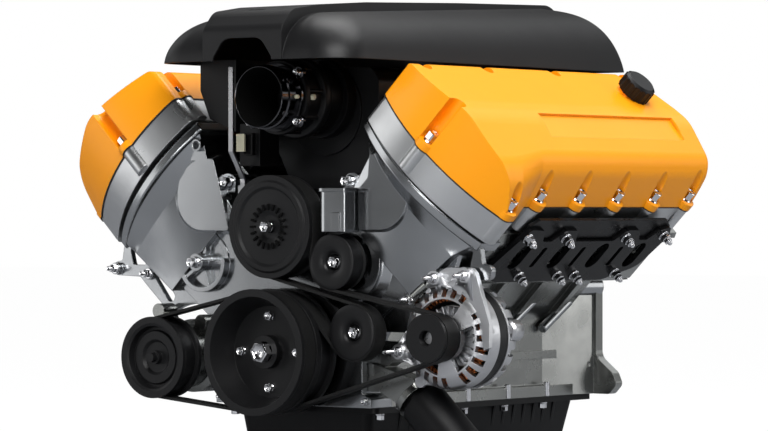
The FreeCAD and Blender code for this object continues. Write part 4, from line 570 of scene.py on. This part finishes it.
class Fasteners:
    """Bolts, studs and nuts in place of the plain ones of the solids."""

    def __init__(self, finishes: "FinishMaker") -> None:
        self._chrome = finishes.get("chrome")

    def build(self) -> None:
        """Build every group of fasteners."""
        self._exhaust_nuts()
        self._cover_bolts()
        self._front_bolts()
        self._pulley_bolts()

    def _exhaust_nuts(self) -> None:
        """Nuts and studs of both exhaust flanges."""
        piece = Piece("exhaust_studs_and_nuts")
        for bank in BANKS:
            first = FIRST_BORE[bank]
            for along, height in EXHAUST_STUDS:
                seat = bank_station(bank, EXHAUST_FACE_W, first + along, height)
                add_nut_on_stud(piece, seat, bank_outward(bank), 13.0, 20.0)
        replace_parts(piece.done(self._chrome), "exhaust_nuts")

    def _cover_bolts(self) -> None:
        """Bolts in the pockets of both valve covers."""
        piece = Piece("valve_cover_flange_bolts")
        for bank in BANKS:
            for w, s in COVER_BOLTS:
                seat = bank_station(bank, w, s, COVER_SEAT_H)
                add_flange_bolt(piece, seat, bank_up(bank), 14.6, 15.8)
        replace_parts(piece.done(self._chrome), "valve_cover_bolts")

    def _front_bolts(self) -> None:
        """Bolts and studs on the front of the engine and along the pan."""
        piece = Piece("front_studs_and_bolts")
        for x, s, z, across, reach in FRONT_STUDS:
            add_nut_on_stud(piece, station(x, s, z), FORWARD, across, reach)
        for x, s, z, across, height in FRONT_BOLTS:
            add_flange_bolt(piece, station(x, s, z), FORWARD, across, height)
        out, height = PAN_BOLT_SEAT
        for side in BANKS:
            for s in PAN_BOLTS:
                add_flange_bolt(piece, station(side * out, s, height), DOWNWARD, 11.0, 9.5)
        for _, x, z in IDLERS:
            add_flange_bolt(piece, station(x, 55.0, z), FORWARD, 15.0, 9.0)
            piece.rod(7.9, station(x, 48.0, z), station(x, 92.0, z))
        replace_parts(piece.done(self._chrome), "front_bolts")

    def _pulley_bolts(self) -> None:
        """Bolts that turn with the water pump's pulley and the crank pulley."""
        pump = Piece("water_pump_centre_bolt")
        add_flange_bolt(pump, station(0.0, 35.0, PUMP_AXIS_Z), FORWARD, 14.0, 11.0)
        pump.done(self._chrome, "pump_wheel")
        crank = Piece("crank_pulley_bolt_set")
        centre = station(0.0, 39.0, 0.0)
        crank.turned([(0, 0), (24, 0), (24, 4), (22.5, 6), (0, 6)], centre, FORWARD, 48)
        crank.turned([(0, 6), (19.5, 6), (19.5, 9), (16, 11), (0, 11)], centre, FORWARD, 48)
        crank.hexagon(27.0, station(0.0, 29.0, 0.0), FORWARD, 17.0, turn=8)
        for turn in range(0, 360, 90):
            x = CRANK_BOLT_CIRCLE * math.cos(math.radians(turn))
            z = CRANK_BOLT_CIRCLE * math.sin(math.radians(turn))
            add_flange_bolt(crank, station(x, 41.0, z), FORWARD, 12.0, 8.0)
        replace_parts(crank.done(self._chrome, "crank"), "crank_pulley_bolts")


# ------------------------------------------------------------------ inlet and throttle

class Inlet:
    """Polished inlet tube, black throttle barrel and the parts beside them.

    Attributes:
        HEIGHT: Height of the tube's axis.
        TUBE_OUTLINE: Wall, bead and flange of the tube as (radius, station).
        SHADE_LINER_OUTLINE: Thin dark skin of painted shade inside the tube and the barrel.
        BARREL_OUTLINE: Front flange, waist and rear ring of the barrel.
        FLANGE_FRONT: Station of the tube flange's front face.
        FLANGE_REAR: Station of its rear face.
        EAR_CIRCLE: Radius on which the flange's ears lie.
        EAR_TURNS: Angles of the ears, in degrees.
        RIB_CIRCLE: Radius on which the barrel's ribs lie.
        RIB_STEP: Angle between two ribs, in degrees.
        RIB_OFFSET: Angle of the first rib, in degrees.
    """

    HEIGHT = 366.0
    TUBE_OUTLINE = ((42.6, 13.4), (43.4, 13.0), (44.5, 13.6), (44.5, 27.0), (46.6, 28.4),
                    (46.6, 31.0), (44.5, 32.4), (44.5, 50.0), (49.5, 50.0), (50.0, 51.0),
                    (50.0, 56.5), (49.5, 57.4), (43.2, 57.4), (43.2, 14.0))
    SHADE_LINER_OUTLINE = ((42.4, 14.6), (43.1, 14.6), (43.1, 58.0), (42.0, 97.0), (41.0, 97.0),
                     (42.4, 57.0))
    BARREL_OUTLINE = ((44.0, 58.0), (53.0, 58.0), (54.0, 60.0), (54.0, 66.0), (49.0, 69.0),
                      (49.0, 96.0), (57.0, 98.0), (58.5, 101.0), (58.5, 108.0),
                      (57.0, 111.0), (44.0, 111.0))
    FLANGE_FRONT = 50.0
    FLANGE_REAR = 57.4
    EAR_CIRCLE = 56.0
    EAR_TURNS = (39.0, 141.0, 219.0, 321.0)
    RIB_CIRCLE = 50.0
    RIB_STEP = 45
    RIB_OFFSET = 10

    def __init__(self, finishes: "FinishMaker") -> None:
        self._finishes = finishes

    def build(self) -> None:
        """Build the inlet pieces."""
        self._tube()
        self._barrel()
        self._cream_parts()

    def _tube(self) -> None:
        """Thin polished tube with a bead and a four-eared flange."""
        start = station(0.0, 0.0, self.HEIGHT)
        tube = Piece("inlet_tube_polished")
        tube.turned(self.TUBE_OUTLINE, start, REARWARD, 96, closed=True)
        bolts = Piece("inlet_tube_bolts")
        for turn in self.EAR_TURNS:
            x = self.EAR_CIRCLE * math.cos(math.radians(turn))
            z = self.HEIGHT + self.EAR_CIRCLE * math.sin(math.radians(turn))
            front = station(x, self.FLANGE_FRONT, z)
            tube.rod(9.0, front, station(x, self.FLANGE_REAR, z))
            add_flange_bolt(bolts, front, FORWARD, 9.0, 8.0)
        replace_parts(tube.done(self._finishes.get("dark_chrome")), "intake_tube")
        bolts.done(self._finishes.get("chrome"))

    def _barrel(self) -> None:
        """Black liner of painted shade inside the tube, and the barrel behind it."""
        start = station(0.0, 0.0, self.HEIGHT)
        # painted shade: a matte black skin stands in for the shade inside the tube and the
        # barrel
        shade_liner = Piece("inlet_shade_liner")
        shade_liner.turned(self.SHADE_LINER_OUTLINE, start, REARWARD, 64, closed=True)
        shade_liner.done(self._finishes.get("painted_shade_black"))
        barrel = Piece("throttle_barrel")
        barrel.turned(self.BARREL_OUTLINE, start, REARWARD, 72, closed=True)
        for step in range(0, 360, self.RIB_STEP):
            turn = math.radians(step + self.RIB_OFFSET)
            x = self.RIB_CIRCLE * math.cos(turn)
            z = self.HEIGHT + self.RIB_CIRCLE * math.sin(turn)
            barrel.rod(3.4, station(x, 66.0, z), station(x, 98.0, z), 16)
        barrel.done(self._finishes.get("plenum_plastic"))

    def _cream_parts(self) -> None:
        """Pale connector parts beside the throttle."""
        pale = Piece("sensor_connector_pale")
        pale.block(station(-95.0, 78.5, 289.0), station(-80.0, 82.0, 315.0))
        pale.rod(4.2, station(47.0, 70.0, self.HEIGHT), station(58.0, 70.0, self.HEIGHT))
        pale.rod(3.0, station(47.0, 40.0, self.HEIGHT), station(47.0, 46.0, self.HEIGHT))
        pale.done(self._finishes.get("cream"))


# ------------------------------------------------------------------ alternator

@dataclass(frozen=True)
class SlotRing:
    """A ring of radial slots in one half of the alternator's case.

    Attributes:
        count: Number of places round the ring.
        inner: Radius at which the slots begin.
        outer: Radius at which they end.
        front: Station at which they begin.
        rear: Station at which they end.
        half_width: Half of a slot's width at its inner end.
        skipped: Places that carry a spoke and stay solid.
    """

    count: int
    inner: float
    outer: float
    front: float
    rear: float
    half_width: float
    skipped: Tuple[int, ...] = ()


class Alternator:
    """Open slots, copper windings and fan of the alternator.

    Attributes:
        AXIS: Place of its axis as (x, z).
        FRONT_SLOTS: Slots of the front half.
        REAR_SLOTS: Slots of the rear half.
        SLOT_FLARE: Width of a slot's outer end over that of its inner end.
        WINDING_COUNT: Number of winding loops.
        BLADE_COUNT: Number of fan blades.
        FAN_OUTLINE: Section of the fan's plate as (radius, station).
        EAR_OUTLINE: Outline of the ear plate as (x, z).
        BOSS_OUTLINE: Half section of the rear boss as (radius, distance along).
    """

    AXIS = (278.2, 25.0)
    FRONT_SLOTS = SlotRing(24, 57.0, 72.5, 76.0, 98.5, 4.1, (5, 13, 21))
    REAR_SLOTS = SlotRing(20, 60.0, 78.0, 140.0, 171.0, 4.6)
    SLOT_FLARE = 1.2
    WINDING_COUNT = 54
    BLADE_COUNT = 26
    FAN_OUTLINE = ((9.0, 99.5), (30.0, 99.5), (45.0, 102.6), (45.0, 103.6), (9.0, 103.6))
    EAR_OUTLINE = ((262.0, 97.0), (256.0, 112.0), (281.0, 123.0), (324.0, 123.0),
                   (331.0, 116.0), (355.0, 45.0), (354.0, 12.0), (345.0, 8.0), (336.0, 52.0),
                   (312.0, 84.0), (290.0, 94.0))
    BOSS_OUTLINE = ((0.0, 0.0), (12.0, 0.0), (15.5, 3.0), (15.5, 22.0), (12.0, 27.0),
                    (5.0, 28.0), (0.0, 28.0))

    def __init__(self, finishes: "FinishMaker") -> None:
        self._finishes = finishes

    def build(self, nodes: Dict[str, bpy.types.Object]) -> None:
        """Carve both case halves and add what shows inside them.

        Args:
            nodes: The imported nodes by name.
        """
        self._carve(nodes["alternator_front_housing"], self.FRONT_SLOTS)
        self._carve(nodes["alternator_rear_housing"], self.REAR_SLOTS)
        self._windings()
        self._fan()
        self._ear_plate()
        self._rear_boss()

    def _around(self, radius: float, s: float, angle: float) -> Vector:
        """Place at a radius and an angle about the alternator's axis."""
        turn = math.radians(angle)
        return station(self.AXIS[0] + radius * math.cos(turn), s,
                       self.AXIS[1] + radius * math.sin(turn))

    def _carve(self, node: bpy.types.Object, slots: SlotRing) -> None:
        """Widen the slots of one case half in a merged copy of its mesh."""
        cutter = Piece("slot_cutter")
        ends = ((slots.inner, 1.0), (slots.inner, -1.0), (slots.outer, -self.SLOT_FLARE),
                (slots.outer, self.SLOT_FLARE))
        for step in range(slots.count):
            if step in slots.skipped:
                continue
            angle = -360.0 / slots.count * step
            turn = math.radians(angle)
            side = Vector((-math.sin(turn), 0.0, math.cos(turn))) * (slots.half_width * MM)
            corners = [self._around(radius, slots.front, angle) + side * sign
                       for radius, sign in ends]
            cutter.extruded(corners, REARWARD * ((slots.rear - slots.front) * MM))
        tool = cutter.done(self._finishes.get("painted_shade_black"))
        carved = carved_copy(node, tool, self._finishes.get("alternator_casting"))
        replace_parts(carved, node.name)

    def _windings(self) -> None:
        """Copper end windings seen through the slots."""
        coils = Piece("alternator_windings")
        for step in range(self.WINDING_COUNT):
            angle = 360.0 * step / self.WINDING_COUNT
            inner = self._around(51.0, 96.5, angle)
            outer = self._around(66.0, 97.5, angle + 5.0)
            coils.rod(2.0, inner, outer, 10)
            coils.rod(1.8, self._around(52.0, 99.0, angle + 3.0),
                      self._around(66.0, 99.5, angle - 2.0), 10)
        coils.done(self._finishes.get("copper"))

    def _fan(self) -> None:
        """Cooling fan that turns with the rotor."""
        fan = Piece("alternator_fan")
        centre = station(self.AXIS[0], 0.0, self.AXIS[1])
        fan.turned(self.FAN_OUTLINE, centre, REARWARD, 48, closed=True)
        for step in range(self.BLADE_COUNT):
            angle = 360.0 * step / self.BLADE_COUNT
            turn = math.radians(angle)
            side = Vector((-math.sin(turn), 0.0, math.cos(turn))) * (1.0 * MM)
            lean = self._around(44.0, 92.0, angle + 6.0)
            root = self._around(25.0, 92.0, angle)
            fan.extruded([root - side, lean - side, lean + side, root + side],
                         REARWARD * (9.0 * MM))
        fan.done(self._finishes.get("alternator_casting"), "alternator_spindle")

    def _ear_plate(self) -> None:
        """Cast plate that joins the case to its two upper ears."""
        plate = Piece("alternator_ear_plate")
        plate.extruded([station(x, 86.0, z) for x, z in self.EAR_OUTLINE],
                       REARWARD * (8.0 * MM))
        plate.done(self._finishes.get("alternator_casting"))

    def _rear_boss(self) -> None:
        """Regulator boss at the rear of the case, on the outer side."""
        boss = Piece("alternator_rear_boss")
        boss.turned(self.BOSS_OUTLINE, station(344.0, 142.0, 34.0), REARWARD, 36)
        boss.block(station(318.0, 142.0, 22.0), station(344.0, 160.0, 46.0))
        boss.done(self._finishes.get("alternator_casting"))


def carved_copy(node: bpy.types.Object, tool: bpy.types.Object,
                finish: bpy.types.Material) -> bpy.types.Object:
    """Cut one piece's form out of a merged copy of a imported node.

    Args:
        node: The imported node, which stays as it is.
        tool: The form to cut away, used up here.
        finish: Material of the result.

    Returns:
        The carved copy, riding on the engine's body.
    """
    mesh = node.data.copy()
    mesh.materials.clear()
    mesh.materials.append(finish)
    work = bmesh.new()
    work.from_mesh(mesh)
    bmesh.ops.remove_doubles(work, verts=work.verts, dist=1e-6)
    work.to_mesh(mesh)
    work.free()
    copy = bpy.data.objects.new(f"{node.name}_carved", mesh)
    bpy.context.collection.objects.link(copy)
    cut = copy.modifiers.new("Cut", "BOOLEAN")
    cut.operation = "DIFFERENCE"
    cut.solver = "EXACT"
    cut.object = tool
    bpy.context.view_layer.update()
    carved = bpy.data.meshes.new_from_object(
        copy.evaluated_get(bpy.context.evaluated_depsgraph_get()))
    copy.modifiers.clear()
    copy.data = carved
    carved.shade_smooth()
    carved.set_sharp_from_angle(angle=math.radians(30.0))
    bpy.data.objects.remove(tool)
    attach(copy, "engine")
    return copy


# ------------------------------------------------------------------ block side

class BlockSide:
    """Ribs, bosses and sleeves on the block's outer wall and the flange lips.

    Attributes:
        BRACES: Upper and lower ends of the two leaning braces as (distance out, s, z).
        BRACE_RADIUS: Radius of a brace.
        SEAMS: Opposite corners of the raised seams as (distance out, s, z).
        HEAD_END: Station behind which the right head's outer deck is cut away.
        HEAD_CUT: Outline of that cut as (w, h).
        SHROUD: Section of the intake's dark side as (x, z).
        LIP: Outline of a flange lip as (distance behind the first bore, h).
    """

    BRACES = (((138.0, 507.0, 70.0), (136.0, 438.0, 29.0)),
              ((138.0, 596.0, 64.0), (136.0, 527.0, 23.0)))
    BRACE_RADIUS = 7.5
    SEAMS = (((130.5, 470.0, 67.0), (133.5, 655.0, 70.0)),
             ((127.0, 586.0, -60.0), (131.0, 590.0, 24.0)),
             ((127.0, 470.0, -20.0), (130.0, 588.0, -16.0)))
    HEAD_END = 568.0
    HEAD_CUT = ((60.0, 240.0), (150.0, 240.0), (150.0, 344.0), (60.0, 344.0))
    SHROUD = ((-150.0, 338.0), (-168.0, 380.0), (-168.0, 424.0), (-100.0, 424.0),
              (-100.0, 318.0))
    LIP = ((-36.0, 352.0), (-36.0, 376.0), (-22.0, 388.0), (306.0, 388.0), (326.0, 376.0),
           (334.0, 362.0), (300.0, 352.0))

    def __init__(self, finishes: "FinishMaker") -> None:
        self._finishes = finishes

    def build(self, nodes: Dict[str, bpy.types.Object]) -> None:
        """Build the pieces on the flanks of the engine.

        Args:
            nodes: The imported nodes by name.
        """
        for bank in BANKS:
            self._wall(bank)
            self._flange_lip(bank)
        self._head_end(nodes["cylinder_head_right"])
        self._valley_shroud()

    def _head_end(self, head: bpy.types.Object) -> None:
        """Shorten the right head's outer deck behind the exhaust flange."""
        cutter = Piece("head_end_cutter")
        corners = [bank_station(1, w, self.HEAD_END, h) for w, h in self.HEAD_CUT]
        cutter.extruded(corners, REARWARD * (60.0 * MM))
        tool = cutter.done(self._finishes.get("painted_shade_black"))
        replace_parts(carved_copy(head, tool, self._finishes.get("satin_casting")), head.name)

    def _valley_shroud(self) -> None:
        """Dark side of the intake beside the left bank, under the top cover."""
        shroud = Piece("intake_side_left")
        outline = [station(x, 84.0, z) for x, z in self.SHROUD]
        shroud.extruded(outline, REARWARD * (540.0 * MM))
        shroud.done(self._finishes.get("plenum_plastic"))

    def _wall(self, side: int) -> None:
        """Bosses, braces and rail sleeves on one side of the block."""
        name = "right" if side > 0 else "left"
        wall = Piece(f"block_{name}_bosses")

        def on_wall(out: float, s: float, z: float) -> Vector:
            """Place at a distance out from the engine's middle plane."""
            return station(side * out, s, z)

        for upper, lower in self.BRACES:
            wall.rod(self.BRACE_RADIUS, on_wall(*lower), on_wall(*upper))
        for first, last in self.SEAMS:
            wall.block(*ordered(on_wall(*first), on_wall(*last)))
        wall.rod(15.0, on_wall(138.0, 612.0, 86.0), on_wall(150.0, 659.0, 86.0))
        wall.done(self._finishes.get("polished_casting"))
        sleeves = Piece(f"pan_rail_sleeves_{name}")
        for s in RAIL_SLEEVES:
            sleeves.rod(5.5, on_wall(141.0, s, -79.0), on_wall(141.0, s, -57.0), 24)
        sleeves.done(self._finishes.get("chrome"))

    def _flange_lip(self, bank: int) -> None:
        """Black upper lip of one exhaust flange, standing in front of the head."""
        name = "right" if bank > 0 else "left"
        lip = Piece(f"exhaust_flange_lip_{name}")
        first = FIRST_BORE[bank]
        corners = [bank_station(bank, 116.0, first + s, h) for s, h in self.LIP]
        lip.extruded(corners, bank_outward(bank) * (5.0 * MM))
        lip.done(self._finishes.get("black_iron"))


def ordered(first: Vector, second: Vector) -> Tuple[Vector, Vector]:
    """Sort two opposite corners of a box.

    Args:
        first: One corner.
        second: The opposite corner.

    Returns:
        The low corner and the high corner.
    """
    low = Vector([min(a, b) for a, b in zip(first, second)])
    high = Vector([max(a, b) for a, b in zip(first, second)])
    return low, high


# ------------------------------------------------------------------ pulleys

class Pulleys:
    """Dished idler wheels and small black marks of painted shade in the slots round the water
    pump's hub.

    Attributes:
        WHEEL_OUTLINE: Half section of an idler as (radius, station), hub to rim and back.
        SLOT_SHADE_COUNT: Number of painted shade marks round the hub.
        SLOT_SHADE_FACE: Station of the marks' front.
        SLOT_SHADE_START: Radius at which a mark begins.
        SLOT_SHADE_LENGTH: Length of a mark outwards.
        SLOT_SHADE_HALF_WIDTH: Half of a mark's width.
        SLOT_SHADE_DEPTH: Depth of a mark along the axis.
    """

    WHEEL_OUTLINE = ((8.2, 75.0), (8.2, 58.0), (12.0, 56.0), (12.0, 52.0), (14.0, 48.0),
                     (18.0, 45.6), (24.0, 44.8), (33.0, 44.2), (37.5, 44.6), (39.4, 45.4),
                     (40.0, 46.6), (37.4, 47.4), (37.3, 71.6), (40.0, 72.4), (40.0, 74.2),
                     (39.0, 75.0))
    SLOT_SHADE_COUNT = 20
    SLOT_SHADE_FACE = 33.8
    SLOT_SHADE_START = 24.0
    SLOT_SHADE_LENGTH = 9.0
    SLOT_SHADE_HALF_WIDTH = 1.5
    SLOT_SHADE_DEPTH = 3.0

    def __init__(self, finishes: "FinishMaker") -> None:
        self._finishes = finishes

    def build(self) -> None:
        """Build both idlers and the painted shade in the pump pulley's slots."""
        for name, x, z in IDLERS:
            wheel = Piece(f"{name}_idler_wheel")
            wheel.turned(self.WHEEL_OUTLINE, station(x, 0.0, z), REARWARD, 72, closed=True)
            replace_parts(wheel.done(self._finishes.get("black_satin"), f"{name}_idler"),
                        f"{name}_idler_pulley")
        self._pump_slot_shade()

    def _pump_slot_shade(self) -> None:
        """Short radial black marks of painted shade where the slots round the hub of the water
        pump's pulley lie in shade.
        """
        # painted shade: matte black blocks stand in for the shade inside the pulley's slots
        shade_marks = Piece("water_pump_pulley_slot_shade")
        for step in range(self.SLOT_SHADE_COUNT):
            turn = 2 * math.pi * step / self.SLOT_SHADE_COUNT
            out = Vector((math.cos(turn), 0.0, math.sin(turn)))
            side = Vector((-math.sin(turn), 0.0, math.cos(turn))) * (self.SLOT_SHADE_HALF_WIDTH * MM)
            near = station(0.0, self.SLOT_SHADE_FACE, PUMP_AXIS_Z) + out * (self.SLOT_SHADE_START * MM)
            far = near + out * (self.SLOT_SHADE_LENGTH * MM)
            shade_marks.extruded([near - side, far - side, far + side, near + side],
                          REARWARD * (self.SLOT_SHADE_DEPTH * MM))
        shade_marks.done(self._finishes.get("painted_shade_black"), "pump_wheel")


# ------------------------------------------------------------------ studio

@dataclass(frozen=True)
class SoftLight:
    """One rectangular studio light.

    Attributes:
        name: Light name.
        place: Centre, in metres.
        aim: Point it faces.
        width: Width in metres.
        height: Height in metres.
        power: Power in watts.
        colour: Light colour.
    """

    name: str
    place: Point
    aim: Point
    width: float
    height: float
    power: float
    colour: Colour = (1.0, 1.0, 1.0)


@dataclass(frozen=True)
class Panel:
    """One soft bright patch of the room, as reflections see it.

    Attributes:
        towards: Direction from the engine to the patch.
        inner: Angle from its middle up to which it is at full level, in degrees.
        outer: Angle at which it has faded out, in degrees.
        level: Brightness at full level.
    """

    towards: Point
    inner: float
    outer: float
    level: float


AMBIENT = 0.03
PANELS: Tuple[Panel, ...] = (
    Panel((0.1, 0.80, 0.60), 8.0, 24.0, 1.1),
    Panel((0.60, 0.80, 0.08), 9.0, 24.0, 0.68),
    Panel((-0.9, 0.15, 0.45), 8.0, 24.0, 0.8),
    Panel((-0.61, -0.79, 0.05), 8.0, 34.0, 0.20),
)
LIGHTS: Tuple[SoftLight, ...] = (
    SoftLight("key", (2.3, -2.6, 2.7), (0.0, -0.3, 0.2), 2.6, 2.0, 180.0),
    SoftLight("front_left", (-2.15, -1.8, 0.55), (0.0, -0.4, 0.1), 1.5, 1.7, 12.0),
    SoftLight("top", (0.0, 0.3, 2.4), (0.0, -0.1, 0.2), 2.4, 1.2, 54.0),
    SoftLight("front_low", (0.2, -3.6, 0.05), (-0.2, -0.3, 0.15), 1.3, 0.8, 22.0),
    SoftLight("right_rear", (2.6, 1.5, 0.7), (0.1, -0.2, 0.1), 1.2, 1.8, 12.0),
)


class Studio:
    """World, floor, lights and camera.

    Attributes:
        FLOOR_Z: Height of the floor.
        FLOOR_SIZE: Half of the floor's side.
        FLOOR_COLOUR: Colour of the floor that reflections and bounced light see.
        FLOOR_GLOW: Strength of the white that the camera sees in its place.
        FLOOR_FADE: Share of that white; the rest is the lit floor with its shadow.
        CAMERA_PLACE: Where the camera stands.
        CAMERA_AIM: Direction in which it looks.
        LENS: Focal length in millimetres on a 36 mm wide frame.
        SHIFT_Y: Upward shift of the frame, as a share of its width.
    """

    FLOOR_Z = -0.1795
    FLOOR_SIZE = 14.0
    FLOOR_COLOUR = (0.30, 0.31, 0.33, 1.0)
    FLOOR_GLOW = 1.06
    FLOOR_FADE = 0.93
    CAMERA_PLACE = Vector((3.3528, -4.6951, 0.2024))
    CAMERA_AIM = Vector((-0.6060, 0.7955, 0.0))
    LENS = 173.4
    SHIFT_Y = -0.00586

    def build(self) -> None:
        """Set up everything that isn't the engine."""
        self._world()
        self._floor()
        for light in LIGHTS:
            self._light(light)
        self._camera()
        bpy.context.scene.view_settings.view_transform = "Standard"

    def _world(self) -> None:
        """White to the camera; dim with a few wide soft panels to everything else."""
        world = bpy.data.worlds.new("studio")
        world.use_nodes = True
        bpy.context.scene.world = world
        nodes = world.node_tree.nodes
        links = world.node_tree.links
        lit = nodes["Background"]
        place = nodes.new("ShaderNodeTexCoord")
        total: Optional[bpy.types.NodeSocket] = None
        for panel in PANELS:
            share = self._panel(nodes, links, place.outputs["Generated"], panel)
            if total is None:
                total = share
                continue
            both = nodes.new("ShaderNodeMath")
            both.operation = "ADD"
            links.new(total, both.inputs[0])
            links.new(share, both.inputs[1])
            total = both.outputs["Value"]
        level = nodes.new("ShaderNodeMath")
        level.operation = "ADD"
        level.inputs[1].default_value = AMBIENT
        links.new(total, level.inputs[0])
        links.new(level.outputs["Value"], lit.inputs["Strength"])
        lit.inputs["Color"].default_value = (0.97, 0.985, 1.0, 1.0)
        white = nodes.new("ShaderNodeBackground")
        white.inputs["Color"].default_value = (1.0, 1.0, 1.0, 1.0)
        path = nodes.new("ShaderNodeLightPath")
        mix = nodes.new("ShaderNodeMixShader")
        links.new(path.outputs["Is Camera Ray"], mix.inputs["Fac"])
        links.new(lit.outputs["Background"], mix.inputs[1])
        links.new(white.outputs["Background"], mix.inputs[2])
        links.new(mix.outputs["Shader"], nodes["World Output"].inputs["Surface"])

    @staticmethod
    def _panel(nodes: bpy.types.Nodes, links: bpy.types.NodeLinks,
               direction: bpy.types.NodeSocket, panel: "Panel") -> bpy.types.NodeSocket:
        """Add one soft panel of the surrounding room and return its brightness."""
        facing = nodes.new("ShaderNodeVectorMath")
        facing.operation = "DOT_PRODUCT"
        facing.inputs[1].default_value = Vector(panel.towards).normalized()
        links.new(direction, facing.inputs[0])
        ramp = nodes.new("ShaderNodeMapRange")
        ramp.interpolation_type = "SMOOTHSTEP"
        ramp.inputs["From Min"].default_value = math.cos(math.radians(panel.outer))
        ramp.inputs["From Max"].default_value = math.cos(math.radians(panel.inner))
        ramp.inputs["To Max"].default_value = panel.level
        links.new(facing.outputs["Value"], ramp.inputs["Value"])
        return ramp.outputs["Result"]

    def _floor(self) -> None:
        """Lay a floor that the camera sees as almost white."""
        grid = bmesh.new()
        bmesh.ops.create_grid(grid, x_segments=1, y_segments=1, size=self.FLOOR_SIZE)
        bmesh.ops.translate(grid, verts=grid.verts, vec=(0.0, 0.0, self.FLOOR_Z))
        mesh = bpy.data.meshes.new("floor")
        grid.to_mesh(mesh)
        grid.free()
        floor = bpy.data.objects.new("floor", mesh)
        bpy.context.collection.objects.link(floor)
        material = bpy.data.materials.new("floor_white")
        material.use_nodes = True
        nodes = material.node_tree.nodes
        links = material.node_tree.links
        shader = nodes["Principled BSDF"]
        shader.inputs["Base Color"].default_value = self.FLOOR_COLOUR
        shader.inputs["Roughness"].default_value = 0.9
        glow = nodes.new("ShaderNodeEmission")
        glow.inputs["Strength"].default_value = self.FLOOR_GLOW
        path = nodes.new("ShaderNodeLightPath")
        mix = nodes.new("ShaderNodeMixShader")
        fade = nodes.new("ShaderNodeMath")
        fade.operation = "MULTIPLY"
        fade.inputs[1].default_value = self.FLOOR_FADE
        links.new(path.outputs["Is Camera Ray"], fade.inputs[0])
        links.new(fade.outputs["Value"], mix.inputs["Fac"])
        links.new(shader.outputs["BSDF"], mix.inputs[1])
        links.new(glow.outputs["Emission"], mix.inputs[2])
        links.new(mix.outputs["Shader"], nodes["Material Output"].inputs["Surface"])
        mesh.materials.append(material)
        floor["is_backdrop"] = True

    @staticmethod
    def _light(light: SoftLight) -> None:
        """Add one rectangular light."""
        data = bpy.data.lights.new(light.name, "AREA")
        data.shape = "RECTANGLE"
        data.size = light.width
        data.size_y = light.height
        data.energy = light.power
        data.color = light.colour
        lamp = bpy.data.objects.new(light.name, data)
        bpy.context.collection.objects.link(lamp)
        place = Vector(light.place)
        aim = Vector(light.aim) - place
        lamp.matrix_world = Matrix.Translation(place) @ aim.to_track_quat(
            "-Z", "Y").to_matrix().to_4x4()

    def _camera(self) -> None:
        """Add the camera with a long lens, level with the belt drive."""
        data = bpy.data.cameras.new("camera")
        data.lens = self.LENS
        data.sensor_width = 36.0
        data.shift_y = self.SHIFT_Y
        data.clip_end = 60.0
        camera = bpy.data.objects.new("camera", data)
        bpy.context.collection.objects.link(camera)
        turn = self.CAMERA_AIM.to_track_quat("-Z", "Y").to_matrix().to_4x4()
        camera.matrix_world = Matrix.Translation(self.CAMERA_PLACE) @ turn
        bpy.context.scene.camera = camera


# ------------------------------------------------------------------ whole scene

class EngineScene:
    """Puts finishes, detail and studio together."""

    def __init__(self) -> None:
        self.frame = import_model()
        self.start_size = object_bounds()
        self.finishes = FinishMaker()
        LOG.info("loaded %d nodes", len(self.frame["nodes"]))

    def build(self) -> None:
        """Dress the engine and set the stage."""
        self._finish_nodes()
        Fasteners(self.finishes).build()
        Inlet(self.finishes).build()
        Pulleys(self.finishes).build()
        Alternator(self.finishes).build(self.frame["nodes"])
        BlockSide(self.finishes).build(self.frame["nodes"])
        Studio().build()
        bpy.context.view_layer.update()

    def _finish_nodes(self) -> None:
        """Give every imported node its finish."""
        for name, node in self.frame["nodes"].items():
            kind = name.split("_")[0]
            finish = KIND_FINISH.get(kind) or NODE_FINISH[name]
            node.data.materials.clear()
            node.data.materials.append(self.finishes.get(finish))


def main() -> None:
    logging.basicConfig(level=logging.INFO)
    EngineScene().build()


if __name__ == "__main__":
    main()
